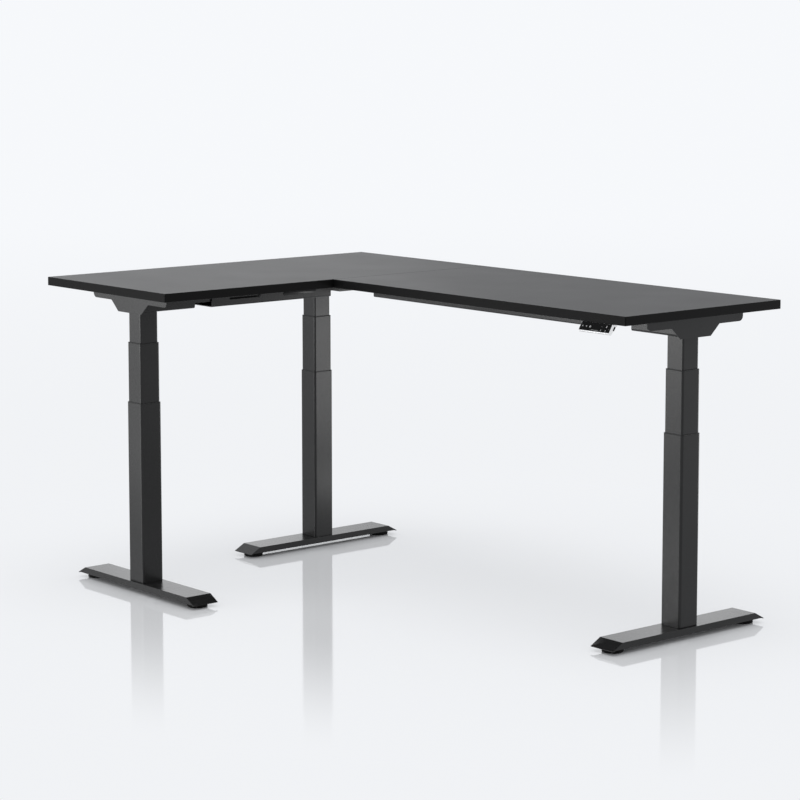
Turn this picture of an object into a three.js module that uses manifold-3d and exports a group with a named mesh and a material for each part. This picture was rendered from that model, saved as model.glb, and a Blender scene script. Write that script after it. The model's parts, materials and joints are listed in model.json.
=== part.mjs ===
// Height adjustable L-shaped standing desk: two boards on three telescopic legs.
// Millimetres, +Z up. The origin is on the floor, under the centre of the desk's outline.
// +X runs along the main board, +Y runs from the user's side of the main board to its back.
import * as THREE from 'three';
import { mergeVertices } from 'three/addons/utils/BufferGeometryUtils.js';
import Module from 'manifold-3d';

// ---------------------------------------------------------------- driving dimensions

// Desk top
const deskLength = 1800;        // along X, over both boards
const deskDepth = 1200;         // along Y, over the wing
const mainBoardDepth = 600;
const wingBoardWidth = 600;
const boardThickness = 25;
const boardEdgeRadius = 1;
const boardSeam = 0.4;          // between the two boards
const deskHeight = 905;         // top face, with the legs at their stored height

// Where the legs stand
const rightLegInset = 80;       // from the right edge to the column's centre
const cornerLegInset = 142;     // from the left edge
const leftLegInset = 333;       // from the left edge
const leftLegReach = 110;       // from the wing's front end

// Clearances
const seat = 0.3;               // between pieces that are bolted or welded together
const slide = 0.25;             // between a bush and the tube that runs in it
const keyGap = 0.25;            // round each key in the handset's panel

// Telescopic column, three square tubes
const outerSide = 71;
const outerWall = 1.5;
const middleWall = 1.8;
const innerWall = 1.8;
const outerPlay = 1;            // between the outer tube's wall and the middle tube
const middlePlay = 1.2;         // between the middle tube's wall and the inner tube
const outerRadius = 6;
const middleRadius = 5;
const innerRadius = 4;
const outerTop = 560.5;         // top of the outer tube's bush
const middleTop = 734.5;        // top of the middle tube's bush
const middleLength = 505;
const innerReach = 450;         // inner tube below the motor housing
const innerStub = 22;           // inner tube inside the motor housing
const bushLip = 2;
const bushDepth = 40;
const tubePlate = 6;            // welded end plates of the outer and middle tubes
const innerPlate = 4;

// Foot
const footMargin = 7.5;         // foot outside the outer tube, on each side
const footTopLength = 518;
const footBottomLength = 594;
const footTop = 32.5;
const footBottom = 12;
const footWall = 3;
const footWallBottom = 14.5;      // the side walls stop above the ends' tips
const footTipRadius = 6;
const footEdge = 0.6;
const footPadLength = 96;
const footPadThickness = 8;
const columnBoltSpacing = 44;
const columnBoltHole = 8.4;
const columnThreadHole = 6.8;

// Levelling glides
const glideRadius = 29;
const glideReach = 254;         // from the column's centre
const glideEdge = 1.5;
const studRadius = 4;
const studTop = 28.5;
const studBore = 4.4;
const bossRadius = 11;

// Lifting screw inside the column
const baseScrewRadius = 7;
const baseScrewTop = 500;
const screwFlangeRadius = 15;
const screwFlange = 5;
const liftTubeRadius = 12;
const liftTubeBore = 7.75;
const liftTubeTop = 700;
const liftFlangeRadius = 20;
const spindleRadius = 17;
const spindleBore = 12.75;
const spindleBottom = 500;
const spindleTop = 838;
const spindleCap = 8;
const journalRadius = 6;
const journalLength = 22;
const journalGap = 0.5;

// Leg head: motor housing and side bracket
const housingBottom = 824;
const housingInward = 127;      // from the inner tube to the housing's inner end
const housingOutward = 14.2;    // from the inner tube to its outer end, behind the side bracket
const housingWall = 2;
const housingRadius = 6;
const gearboxMargin = 1;        // gearbox outside the inner tube
const gearboxTop = 874;
const motorRadius = 21;
const motorAxisZ = 851.5;
const motorGap = 3;             // between gearbox and motor
const motorLength = 114;
const cableHoleRadius = 9;
const cableHoleSide = 22;       // beside the motor's axis
const bracketLength = 369;
const bracketSheet = 2.5;
const bracketFlange = 33;
const bracketBend = 3;
const bracketBottom = 822.5;
const bracketArmBottom = 853.5;
const bracketArmStart = 92;     // where the slant meets the arm
const bracketDeepHalf = 58;     // half of the deep middle part
const bracketEndRadius = 14;
const bracketSlot = 14;
const woodScrewHole = 2.8;      // radius
const woodScrewPitch = 150;
const bracketScrewRow = 20;     // from the bend to the row of wood screws

// Cross beams
const sleeveMargin = 15;        // sleeve outside the inner tube, on each side
const sleeveBottom = 823.5;
const sleeveWall = 2;
const sleeveRadius = 4;
const sleeveLip = 14;
const mainSleeveInset = 336;    // from each column's centre to the main sleeve's end
const wingSleeveInset = 213;    // from the left column's centre
const wingSleeveSetback = 131;  // from the main beam's centre line
const slotLength = 104;
const slotHeight = 6;
const slotStart = 64;           // from the sleeve's end
const slotZ = 844.5;
const slotEyeRadius = 3.5;
const slotEyeGap = 7;
const railPlay = 3;             // between rail and sleeve, on each side
const railWall = 2;
const railBottom = 840;
const railRadius = 4;
const railStart = 20;           // from the inner tube
const railOverlap = 180;        // inside the main sleeve, at each end
const wingRailGap = 78;         // between the two rails in the wing's sleeve
const clampHole = 2.5;          // radius of the threaded holes behind the slots
const teeFlange = 130;
const teeSheet = 3;

// Pieces under the boards
const joiningPlateLength = 180;
const joiningPlateWidth = 90;
const joiningPlateSheet = 3;
const joiningPlateInset = 120;  // from the main board's front edge
const controlLength = 230;
const controlWidth = 92;
const controlHeight = 38;
const controlInset = 410;       // from the seam
const controlGap = 28;          // behind the main sleeve
const controlRadius = 6;
const controlEar = 14;
const controlEarHeight = 4;
const socketWidth = 14;
const socketHeight = 9;
const socketDepth = 12;
const socketPitch = 26;
const socketCount = 4;
const inletWidth = 24;
const inletHeight = 16;
const inletDepth = 16;

// Handset
const handsetInset = 102.5;     // from the right edge to the handset's centre
const handsetWidth = 114;
const handsetFace = 27.5;       // height of the tilted face
const handsetDepth = 16.5;      // at the top
const handsetFootDepth = 9;     // at the bottom
const handsetTilt = 32;         // degrees from upright
const handsetEdge = 0.8;
const handsetRim = 1.2;
const tabDepth = 46;
const tabThickness = 3;
const panelTop = 0.9;           // from the case's top edge to the panel
const panelHeight = 24;
const panelThickness = 2.3;
const keyThickness = 1.6;
const keyTravel = 0.6;
const keyRadius = 1.5;
const keyWidth = 10.5;          // the three keys on the left
const keyHeight = 15;
const keyPitch = 13.75;
const firstKeyX = -46.8;
const presetWidth = 12;         // the three keys on the right
const presetHeight = 6.6;
const presetPitch = 16.5;
const lastPresetX = 39.2;
const presetUpper = -8.2;       // rows, from the case's top edge
const presetLower = -19.9;
const displayWidth = 26;
const displayHeight = 12;
const displayX = 1;
const displayUp = -11.7;
const displayRecess = 0.5;
const portWidth = 11;
const portHeight = 3.2;
const portDepth = 7;
const portBack = 10.3;          // from the tilted face
const portUp = -7;

// ---------------------------------------------------------------- derived places

const boardUnder = deskHeight - boardThickness;
const mountFace = boardUnder - seat;             // top of all that is screwed to the boards
const legLineY = deskDepth / 2 - mainBoardDepth / 2;
const seamX = -deskLength / 2 + wingBoardWidth;
const mainFrontY = deskDepth / 2 - mainBoardDepth;
const rightLegX = deskLength / 2 - rightLegInset;
const cornerLegX = -deskLength / 2 + cornerLegInset;
const leftLegX = -deskLength / 2 + leftLegInset;
const leftLegY = -deskDepth / 2 + leftLegReach;
const middleSide = outerSide - 2 * (outerWall + outerPlay);
const innerSide = middleSide - 2 * (middleWall + middlePlay);
const footWidth = outerSide + 2 * footMargin;
const gearboxSide = innerSide + 2 * gearboxMargin;
const motorStart = gearboxSide / 2 + motorGap;
const motorEnd = motorStart + motorLength;
const housingInner = innerSide / 2 + housingInward;
const housingOuter = innerSide / 2 + housingOutward;
const bracketFace = -(housingOuter + seat + bracketSheet);
const sleeveWidth = innerSide + 2 * sleeveMargin;
const railWidth = sleeveWidth - 2 * (sleeveWall + railPlay);
const tubeBottom = footTop + seat;
const middleBottom = middleTop - middleLength;
const innerBottom = housingBottom - innerReach;
const innerTop = housingBottom + innerStub;
const sleeveInnerTop = mountFace - sleeveWall;
const railTop = sleeveInnerTop - seat;
const housingTop = railTop - railRadius - seat;
const housingHalf = railWidth / 2 - railWall - seat;
const mainSleeveStartX = cornerLegX + mainSleeveInset;
const mainSleeveEndX = rightLegX - mainSleeveInset;
const wingSleeveStartY = leftLegY + wingSleeveInset;
const wingSleeveEndY = legLineY - wingSleeveSetback;
const wingRailOverlap = (wingSleeveEndY - wingSleeveStartY - wingRailGap) / 2;
const joiningPlateY = mainFrontY + joiningPlateInset;
const controlX = seamX + controlInset;

// ---------------------------------------------------------------- solids

const wasm = await Module();
wasm.setup();

const axisX = new THREE.Vector3(1, 0, 0);
const axisY = new THREE.Vector3(0, 1, 0);
const axisZ = new THREE.Vector3(0, 0, 1);

// A closed three.js geometry as a solid that can be joined and cut.
function solidOf(geometry) {
  const bare = geometry.index ? geometry.toNonIndexed() : geometry.clone();
  bare.deleteAttribute('normal');
  bare.deleteAttribute('uv');
  const merged = mergeVertices(bare, 1e-4);
  const corners = Array.from(merged.index.array);
  const triangles = [];
  for (let i = 0; i < corners.length; i += 3) {
    const [a, b, c] = corners.slice(i, i + 3);
    if (a !== b && b !== c && c !== a) triangles.push(a, b, c);
  }
  return new wasm.Manifold(new wasm.Mesh({
    numProp: 3,
    vertProperties: new Float32Array(merged.attributes.position.array),
    triVerts: new Uint32Array(triangles),
  }));
}

function geometryOf(solid) {
  const mesh = solid.getMesh();
  const geometry = new THREE.BufferGeometry();
  geometry.setAttribute('position', new THREE.BufferAttribute(new Float32Array(mesh.vertProperties), 3));
  geometry.setIndex(new THREE.BufferAttribute(new Uint32Array(mesh.triVerts), 1));
  geometry.computeVertexNormals();
  return geometry;
}

const joined = (solids) => solids.reduce((sum, solid) => sum.add(solid));
const cut = (body, tools) => tools.reduce((rest, tool) => rest.subtract(tool), body);

// A section swept from one place to another. The section is drawn in XY for a sweep along Z,
// in XZ for a sweep along Y and in YZ for a sweep along X. An edge softens both ends.
function prism(section, from, to, { along = 'z', edge = 0, segments = 2, bevelSteps = 1 } = {}) {
  const geometry = new THREE.ExtrudeGeometry(section, {
    depth: to - from - 2 * edge,
    bevelEnabled: edge > 0,
    bevelThickness: edge,
    bevelSize: edge,
    bevelOffset: -edge,
    bevelSegments: bevelSteps,
    curveSegments: segments,
  });
  if (along === 'y') {
    geometry.translate(0, 0, edge - to);
    geometry.applyMatrix4(new THREE.Matrix4().makeBasis(axisX, axisZ, axisY.clone().negate()));
  } else {
    geometry.translate(0, 0, from + edge);
  }
  if (along === 'x') {
    geometry.applyMatrix4(new THREE.Matrix4().makeBasis(axisY, axisZ, axisX));
  }
  return solidOf(geometry);
}

// A profile of [radius, height] points, listed upwards on the outside, turned about Z.
function revolved(points, sides = 20) {
  const profile = points.map(([radius, height]) => new THREE.Vector2(radius, height));
  const geometry = new THREE.LatheGeometry(profile, sides);
  geometry.rotateX(Math.PI / 2);
  return solidOf(geometry);
}

function rod(radius, from, to, { x = 0, y = 0, sides = 16 } = {}) {
  const geometry = new THREE.CylinderGeometry(radius, radius, to - from, sides);
  geometry.rotateX(Math.PI / 2);
  geometry.translate(x, y, (from + to) / 2);
  return solidOf(geometry);
}

function rodAlongY(radius, from, to, { x = 0, z = 0, sides = 16 } = {}) {
  const geometry = new THREE.CylinderGeometry(radius, radius, to - from, sides);
  geometry.translate(x, (from + to) / 2, z);
  return solidOf(geometry);
}

function block(x0, x1, y0, y1, z0, z1) {
  const geometry = new THREE.BoxGeometry(x1 - x0, y1 - y0, z1 - z0);
  geometry.translate((x0 + x1) / 2, (y0 + y1) / 2, (z0 + z1) / 2);
  return solidOf(geometry);
}

// A rounded rectangle, as a Shape or as the Path of a hole.
function roundedRectangle(width, height, radius, Kind = THREE.Shape, x = 0, y = 0) {
  const right = width / 2;
  const top = height / 2;
  const outline = new Kind();
  outline.moveTo(x - right + radius, y - top);
  outline.lineTo(x + right - radius, y - top);
  outline.absarc(x + right - radius, y - top + radius, radius, -Math.PI / 2, 0);
  outline.lineTo(x + right, y + top - radius);
  outline.absarc(x + right - radius, y + top - radius, radius, 0, Math.PI / 2);
  outline.lineTo(x - right + radius, y + top);
  outline.absarc(x - right + radius, y + top - radius, radius, Math.PI / 2, Math.PI);
  outline.lineTo(x - right, y - top + radius);
  outline.absarc(x - right + radius, y - top + radius, radius, Math.PI, Math.PI * 1.5);
  return outline;
}

const circle = (radius, Kind, x, y) => roundedRectangle(2 * radius, 2 * radius, radius, Kind, x, y);

function squareRing(outside, outsideRadius, inside, insideRadius) {
  const ring = roundedRectangle(outside, outside, outsideRadius);
  ring.holes.push(roundedRectangle(inside, inside, insideRadius, THREE.Path));
  return ring;
}

// A polygon, listed anticlockwise, whose corners are rounded: each corner is [x, y, radius].
function filleted(corners) {
  const outline = new THREE.Shape();
  corners.forEach(([x, y, radius], i) => {
    const here = new THREE.Vector2(x, y);
    const before = new THREE.Vector2(...corners.at(i - 1)).sub(here).normalize();
    const after = new THREE.Vector2(...corners[(i + 1) % corners.length]).sub(here).normalize();
    const half = Math.acos(before.dot(after)) / 2;
    const start = here.clone().addScaledVector(before, radius / Math.tan(half));
    if (i === 0) outline.moveTo(start.x, start.y);
    else outline.lineTo(start.x, start.y);
    if (radius === 0) return;
    const bisector = before.clone().add(after).normalize();
    const centre = here.clone().addScaledVector(bisector, radius / Math.sin(half));
    const convex = after.cross(before) > 0;
    const turn = (Math.PI / 2 - half) * (convex ? 1 : -1);
    const middle = Math.atan2(-bisector.y, -bisector.x);
    outline.absarc(centre.x, centre.y, radius, middle - turn, middle + turn, !convex);
  });
  outline.closePath();
  return outline;
}

// ---------------------------------------------------------------- finishes

const finish = (color, roughness, metalness) => new THREE.MeshStandardMaterial({ color, roughness, metalness });
const finishes = {
  laminate: () => finish(0x1d1d1f, 0.45, 0),
  powderCoat: () => finish(0x2b2b2c, 0.5, 0.1),
  blackPlastic: () => finish(0x161617, 0.55, 0),
  rubber: () => finish(0x101010, 0.8, 0),
  steel: () => finish(0x9a9b9d, 0.35, 0.9),
  motorCan: () => finish(0x4a4b4d, 0.4, 0.8),
  silverPlastic: () => finish(0xb9babd, 0.35, 0.2),
  glossBlack: () => finish(0x0b0b0c, 0.08, 0),
};

function piece(name, solid, material) {
  const mesh = new THREE.Mesh(geometryOf(solid), finishes[material]());
  mesh.name = name;
  return mesh;
}

// ---------------------------------------------------------------- leg, in its own frame
// The column stands on the origin. The foot lies along X, and the beam leaves along +Y.

// The four bolts that hold the column on its foot.
function columnBolts(radius, from, to) {
  const half = columnBoltSpacing / 2;
  return [-half, half].flatMap((x) => [-half, half].map((y) => rod(radius, from, to, { x, y, sides: 8 })));
}

// Folded channel, open below, with ends that run out towards the floor.
function footSolid() {
  const topHalf = footTopLength / 2;
  const bottomHalf = footBottomLength / 2;
  const run = (bottomHalf - topHalf) / (footTop - footBottom);
  const profile = filleted([
    [-bottomHalf, footBottom, footEdge + 0.1],
    [bottomHalf, footBottom, footEdge + 0.1],
    [topHalf, footTop, 2],
    [-topHalf, footTop, 2],
  ]);
  const ceiling = footTop - footWall;
  const pocketEnd = (z) => topHalf + run * (footTop - z) - footWall * Math.hypot(1, run);
  const pocket = filleted([
    [-pocketEnd(footBottom - 1), footBottom - 1, 0],
    [pocketEnd(footBottom - 1), footBottom - 1, 0],
    [pocketEnd(ceiling), ceiling, 1],
    [-pocketEnd(ceiling), ceiling, 1],
  ]);
  const skirt = filleted([
    [-pocketEnd(footBottom - 1), footBottom - 1, 0],
    [pocketEnd(footBottom - 1), footBottom - 1, 0],
    [pocketEnd(footWallBottom), footWallBottom, 0],
    [-pocketEnd(footWallBottom), footWallBottom, 0],
  ]);
  const plan = roundedRectangle(footBottomLength, footWidth, footTipRadius);
  const halfWidth = footWidth / 2;
  const inside = halfWidth - footWall;
  const shell = prism(profile, -halfWidth, halfWidth, { along: 'y', edge: footEdge })
    .intersect(prism(plan, footBottom - 1, footTop + 1, { segments: 3 }))
    .subtract(prism(skirt, -halfWidth - 1, halfWidth + 1, { along: 'y', segments: 1 }))
    .subtract(prism(pocket, -inside, inside, { along: 'y', segments: 1 }));
  const pad = block(-footPadLength / 2, footPadLength / 2, -inside, inside, footTop - footPadThickness, ceiling);
  const bosses = [-glideReach, glideReach].map((x) => rod(bossRadius, footBottom, ceiling, { x }));
  const bores = [-glideReach, glideReach].map((x) => rod(studBore, footBottom - 1, ceiling, { x }));
  return cut(joined([shell, pad, ...bosses]), [...bores, ...columnBolts(columnBoltHole / 2, 0, footTop + 1)]);
}

// Round levelling glide on a threaded stud.
function glideSolid() {
  const top = footBottom - seat;
  return revolved([
    [0, 0],
    [glideRadius - glideEdge, 0],
    [glideRadius, glideEdge],
    [glideRadius, top],
    [studRadius, top],
    [studRadius, studTop],
    [0, studTop],
  ], 24);
}

function outerTubeSolid() {
  const inside = outerSide - 2 * outerWall;
  const wall = prism(squareRing(outerSide, outerRadius, inside, outerRadius - outerWall), tubeBottom, outerTop - bushLip);
  const plate = prism(roundedRectangle(inside + outerWall, inside + outerWall, outerRadius - outerWall),
    tubeBottom, tubeBottom + tubePlate);
  return cut(wall.add(plate), columnBolts(columnThreadHole / 2, 0, tubeBottom + tubePlate + 1));
}

function middleTubeSolid() {
  const inside = middleSide - 2 * middleWall;
  const wall = prism(squareRing(middleSide, middleRadius, inside, middleRadius - middleWall), middleBottom, middleTop - bushLip);
  const plate = prism(roundedRectangle(inside + middleWall, inside + middleWall, middleRadius - middleWall),
    middleBottom, middleBottom + tubePlate);
  const screwHole = rod(liftTubeBore, middleBottom - 1, middleBottom + tubePlate + 1);
  return wall.add(plate).subtract(screwHole);
}

function innerTubeSolid() {
  const inside = innerSide - 2 * innerWall;
  const wall = prism(squareRing(innerSide, innerRadius, inside, innerRadius - innerWall), innerBottom, innerTop);
  const plate = prism(roundedRectangle(inside + innerWall, inside + innerWall, innerRadius - innerWall),
    innerTop - innerPlate, innerTop);
  return wall.add(plate).subtract(rod(journalRadius + 1, innerTop - innerPlate - 1, innerTop + 1));
}

// Plastic bush in the mouth of a tube, with a lip that covers the tube's rim.
function bushSolid(tubeSide, tubeWall, tubeRadius, runnerSide, runnerRadius, top) {
  const bore = runnerSide + 2 * slide;
  const boreRadius = runnerRadius + slide;
  const sleeveSide = tubeSide - 2 * tubeWall - seat;
  const lip = prism(squareRing(tubeSide, tubeRadius, bore, boreRadius), top - bushLip + seat, top);
  const sleeve = prism(squareRing(sleeveSide, tubeRadius - tubeWall, bore, boreRadius), top - bushDepth, top - bushLip / 2);
  return lip.add(sleeve);
}

// Screw that stands on the outer tube's end plate.
function baseScrewSolid() {
  const bottom = tubeBottom + tubePlate + seat;
  return revolved([
    [0, bottom],
    [screwFlangeRadius, bottom],
    [screwFlangeRadius, bottom + screwFlange],
    [baseScrewRadius, bottom + screwFlange],
    [baseScrewRadius, baseScrewTop - 2],
    [baseScrewRadius - 2, baseScrewTop],
    [0, baseScrewTop],
  ]);
}

// Lift tube that rises with the middle tube, round the base screw.
function liftTubeSolid() {
  const bottom = middleBottom + tubePlate + seat;
  return revolved([
    [liftTubeBore, bottom],
    [liftFlangeRadius, bottom],
    [liftFlangeRadius, bottom + screwFlange],
    [liftTubeRadius, bottom + screwFlange],
    [liftTubeRadius, liftTubeTop],
    [liftTubeBore, liftTubeTop],
    [liftTubeBore, bottom],
  ]);
}

// Hollow spindle that hangs from the gearbox, round the lift tube.
function spindleSolid() {
  return revolved([
    [0, spindleTop - spindleCap],
    [spindleBore, spindleTop - spindleCap],
    [spindleBore, spindleBottom],
    [spindleRadius, spindleBottom],
    [spindleRadius, spindleTop],
    [journalRadius, spindleTop],
    [journalRadius, spindleTop + journalLength],
    [0, spindleTop + journalLength],
  ]);
}

// Gearbox on the inner tube, with the motor lying along the beam.
function motorSolid() {
  const bottom = innerTop + seat;
  const half = gearboxSide / 2;
  const box = prism(roundedRectangle(gearboxSide, gearboxSide, 6), bottom, gearboxTop, { edge: 1 });
  const neck = block(-half * 0.7, half * 0.7, half - 2, motorStart + 1, bottom + 1, gearboxTop - 2);
  const can = rodAlongY(motorRadius, motorStart, motorEnd, { z: motorAxisZ, sides: 28 });
  const endCap = rodAlongY(motorRadius * 0.45, motorEnd, motorEnd + 5, { z: motorAxisZ });
  const bore = rod(journalRadius + journalGap, bottom - 1, spindleTop + journalLength + 1);
  return joined([box, neck, can, endCap]).subtract(bore);
}

// Folded channel, open above, with closed ends: it carries the motor and the inner tube.
function motorHousingSolid() {
  const inside = housingHalf - housingWall;
  const section = filleted([
    [-housingHalf, housingBottom, housingRadius],
    [housingHalf, housingBottom, housingRadius],
    [housingHalf, housingTop, 0],
    [-housingHalf, housingTop, 0],
  ]);
  const pocket = filleted([
    [-inside, housingBottom + housingWall, housingRadius - housingWall],
    [inside, housingBottom + housingWall, housingRadius - housingWall],
    [inside, housingTop + 1, 0],
    [-inside, housingTop + 1, 0],
  ]);
  const hole = innerSide + 2 * seat;
  const column = prism(roundedRectangle(hole, hole, innerRadius + seat), housingBottom - 1, housingBottom + housingWall + 1);
  const cableHole = rodAlongY(cableHoleRadius, housingInner - housingWall - 1, housingInner + 1,
    { x: cableHoleSide, z: motorAxisZ });
  return cut(prism(section, -housingOuter, housingInner, { along: 'y' }), [
    prism(pocket, -housingOuter + housingWall, housingInner - housingWall, { along: 'y' }),
    column,
    cableHole,
  ]);
}

// T-shaped side bracket: a folded angle whose upright leaf is cut to two arms with slanted shoulders.
function sideBracketSolid() {
  const face = bracketFace;
  const bend = bracketBend;
  const angle = filleted([
    [face, bracketBottom, 0],
    [face + bracketSheet, bracketBottom, 0],
    [face + bracketSheet, mountFace - bracketSheet, bend - bracketSheet + 1],
    [face + bracketFlange, mountFace - bracketSheet, 0],
    [face + bracketFlange, mountFace, 0],
    [face, mountFace, bend],
  ]);
  const half = bracketLength / 2;
  const tee = filleted([
    [-bracketDeepHalf, bracketBottom, 4],
    [bracketDeepHalf, bracketBottom, 4],
    [bracketArmStart, bracketArmBottom, 5],
    [half, bracketArmBottom, bracketEndRadius],
    [half, mountFace + 1, 0],
    [-half, mountFace + 1, 0],
    [-half, bracketArmBottom, bracketEndRadius],
    [-bracketArmStart, bracketArmBottom, 5],
  ]);
  const leaf = prism(angle, -half, half, { along: 'x' })
    .intersect(prism(tee, face - 1, face + bracketFlange + 1, { along: 'y' }));
  return cut(leaf, bracketScrews(woodScrewHole, mountFace - bracketSheet - 1, mountFace + 1));
}

// Row of wood screws through the bracket's flange.
function bracketScrews(radius, from, to) {
  const y = bracketFace + bracketScrewRow;
  return [-woodScrewPitch, 0, woodScrewPitch].map((x) => rod(radius, from, to, { x, y, sides: 8 }));
}

// One whole leg. frontSide is the sign of X that faces the user.
function leg(prefix, frontSide) {
  const group = new THREE.Group();
  const glide = (name, x) => {
    const mesh = piece(name, glideSolid(), 'rubber');
    mesh.position.x = x;
    return mesh;
  };
  group.add(
    piece(`${prefix}_foot`, footSolid(), 'powderCoat'),
    glide(`${prefix}_glide_front`, frontSide * glideReach),
    glide(`${prefix}_glide_rear`, -frontSide * glideReach),
    piece(`${prefix}_outer_tube`, outerTubeSolid(), 'powderCoat'),
    piece(`${prefix}_outer_bush`,
      bushSolid(outerSide, outerWall, outerRadius, middleSide, middleRadius, outerTop), 'blackPlastic'),
    piece(`${prefix}_base_screw`, baseScrewSolid(), 'steel'),
    piece(`${prefix}_middle_tube`, middleTubeSolid(), 'powderCoat'),
    piece(`${prefix}_middle_bush`,
      bushSolid(middleSide, middleWall, middleRadius, innerSide, innerRadius, middleTop), 'blackPlastic'),
    piece(`${prefix}_lift_tube`, liftTubeSolid(), 'steel'),
    piece(`${prefix}_inner_tube`, innerTubeSolid(), 'powderCoat'),
    piece(`${prefix}_spindle`, spindleSolid(), 'steel'),
    piece(`${prefix}_motor`, motorSolid(), 'motorCan'),
    piece(`${prefix}_motor_housing`, motorHousingSolid(), 'powderCoat'),
    piece(`${prefix}_side_bracket`, sideBracketSolid(), 'powderCoat'),
  );
  return group;
}

// ---------------------------------------------------------------- cross beams

// Section of a sleeve: a box channel, open above between two lips that are screwed to the board.
function sleeveSection(centre) {
  const half = sleeveWidth / 2;
  const inside = half - sleeveWall;
  const gap = inside - sleeveLip;
  return filleted([
    [centre - half, sleeveBottom, sleeveRadius],
    [centre + half, sleeveBottom, sleeveRadius],
    [centre + half, mountFace, sleeveRadius],
    [centre + gap, mountFace, 0],
    [centre + gap, sleeveInnerTop, 0],
    [centre + inside, sleeveInnerTop, sleeveRadius - sleeveWall],
    [centre + inside, sleeveBottom + sleeveWall, sleeveRadius - sleeveWall],
    [centre - inside, sleeveBottom + sleeveWall, sleeveRadius - sleeveWall],
    [centre - inside, sleeveInnerTop, sleeveRadius - sleeveWall],
    [centre - gap, sleeveInnerTop, 0],
    [centre - gap, mountFace, 0],
    [centre - half, mountFace, sleeveRadius],
  ]);
}

// Section of a rail: an inverted channel that slides in the sleeve.
function railSection(centre) {
  const half = railWidth / 2;
  const inside = half - railWall;
  return filleted([
    [centre - half, railBottom, 0],
    [centre - inside, railBottom, 0],
    [centre - inside, railTop - railWall, railRadius - railWall],
    [centre + inside, railTop - railWall, railRadius - railWall],
    [centre + inside, railBottom, 0],
    [centre + half, railBottom, 0],
    [centre + half, railTop, railRadius],
    [centre - half, railTop, railRadius],
  ]);
}

// Adjusting slot and its eye near one end of a sleeve, through both side walls.
// The slot starts at a place along the beam and runs in the direction of sign.
function adjustingSlot(along, centre, end, sign) {
  const width = sleeveWidth + 2;
  const middle = end + sign * (slotStart + slotLength / 2);
  const eye = end + sign * (slotStart + slotLength + slotEyeGap);
  const slot = roundedRectangle(slotLength, slotHeight, slotHeight / 2 - 0.01, THREE.Shape, middle, slotZ);
  const round = circle(slotEyeRadius, THREE.Shape, eye, slotZ);
  const from = centre - width / 2;
  const to = centre + width / 2;
  return [slot, round].map((section) => prism(section, from, to, { along, segments: 1 }));
}

// The threaded holes of a rail, one pair behind each end of the sleeve's slot.
function clampHoles(along, centre, end, sign) {
  return [slotStart + slotHeight, slotStart + slotLength - slotHeight].map((distance) => {
    const hole = circle(clampHole, THREE.Shape, end + sign * distance, slotZ);
    return prism(hole, centre - railWidth, centre + railWidth, { along, segments: 1 });
  });
}

function mainSleeveSolid() {
  return cut(prism(sleeveSection(legLineY), mainSleeveStartX, mainSleeveEndX, { along: 'x' }), [
    ...adjustingSlot('y', legLineY, mainSleeveStartX, 1),
    ...adjustingSlot('y', legLineY, mainSleeveEndX, -1),
  ]);
}

function wingSleeveSolid() {
  return cut(prism(sleeveSection(leftLegX), wingSleeveStartY, wingSleeveEndY, { along: 'y' }), [
    ...adjustingSlot('x', leftLegX, wingSleeveStartY, 1),
    ...adjustingSlot('x', leftLegX, wingSleeveEndY, -1),
  ]);
}

// A rail from a leg's head into the end of its sleeve. sign points from the leg into the sleeve.
function railSolid(along, centre, legPlace, sleeveEnd, overlap, sign) {
  const inner = sleeveEnd + sign * overlap;
  const outer = legPlace + sign * (innerSide / 2 + railStart);
  const channel = prism(railSection(centre), Math.min(inner, outer), Math.max(inner, outer), { along });
  const across = along === 'x' ? 'y' : 'x';
  return cut(channel, clampHoles(across, centre, sleeveEnd, sign));
}

// The rail that ties the wing's beam to the corner leg's rail, with a flange bolted to its side.
function teeRailSolid() {
  const flangeFace = legLineY - railWidth / 2 - seat;
  const inner = wingSleeveEndY - wingRailOverlap;
  const channel = prism(railSection(leftLegX), inner, flangeFace - teeSheet / 2, { along: 'y' });
  const middleZ = (railBottom + railTop) / 2;
  const height = railTop - railBottom;
  const flangeOutline = roundedRectangle(teeFlange, height, 6, THREE.Shape, leftLegX, middleZ);
  for (const side of [-1, 1]) {
    flangeOutline.holes.push(circle(4, THREE.Path, leftLegX + side * (teeFlange / 2 - 12), middleZ));
  }
  const flange = prism(flangeOutline, flangeFace - teeSheet, flangeFace, { along: 'y' });
  return cut(channel.add(flange), clampHoles('x', leftLegX, wingSleeveEndY, -1));
}

// ---------------------------------------------------------------- boards and what hangs under them

function boardSolid(x0, x1, y0, y1) {
  const outline = roundedRectangle(x1 - x0, y1 - y0, 2, THREE.Shape, (x0 + x1) / 2, (y0 + y1) / 2);
  return prism(outline, boardUnder, deskHeight, { edge: boardEdgeRadius, segments: 1, bevelSteps: 2 });
}

const wingBoardSolid = () => boardSolid(-deskLength / 2, seamX - boardSeam / 2, -deskDepth / 2, deskDepth / 2);
const mainBoardSolid = () => boardSolid(seamX + boardSeam / 2, deskLength / 2, mainFrontY, deskDepth / 2);

// Flat steel plate across the seam, with two rows of screw holes.
function joiningPlateSolid() {
  const outline = roundedRectangle(joiningPlateLength, joiningPlateWidth, 8, THREE.Shape, seamX, joiningPlateY);
  for (const x of [-0.4, -0.15, 0.15, 0.4]) {
    for (const y of [-0.32, 0.32]) {
      outline.holes.push(circle(woodScrewHole, THREE.Path,
        seamX + x * joiningPlateLength, joiningPlateY + y * joiningPlateWidth));
    }
  }
  return prism(outline, mountFace - joiningPlateSheet, mountFace, { segments: 1 });
}

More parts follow.
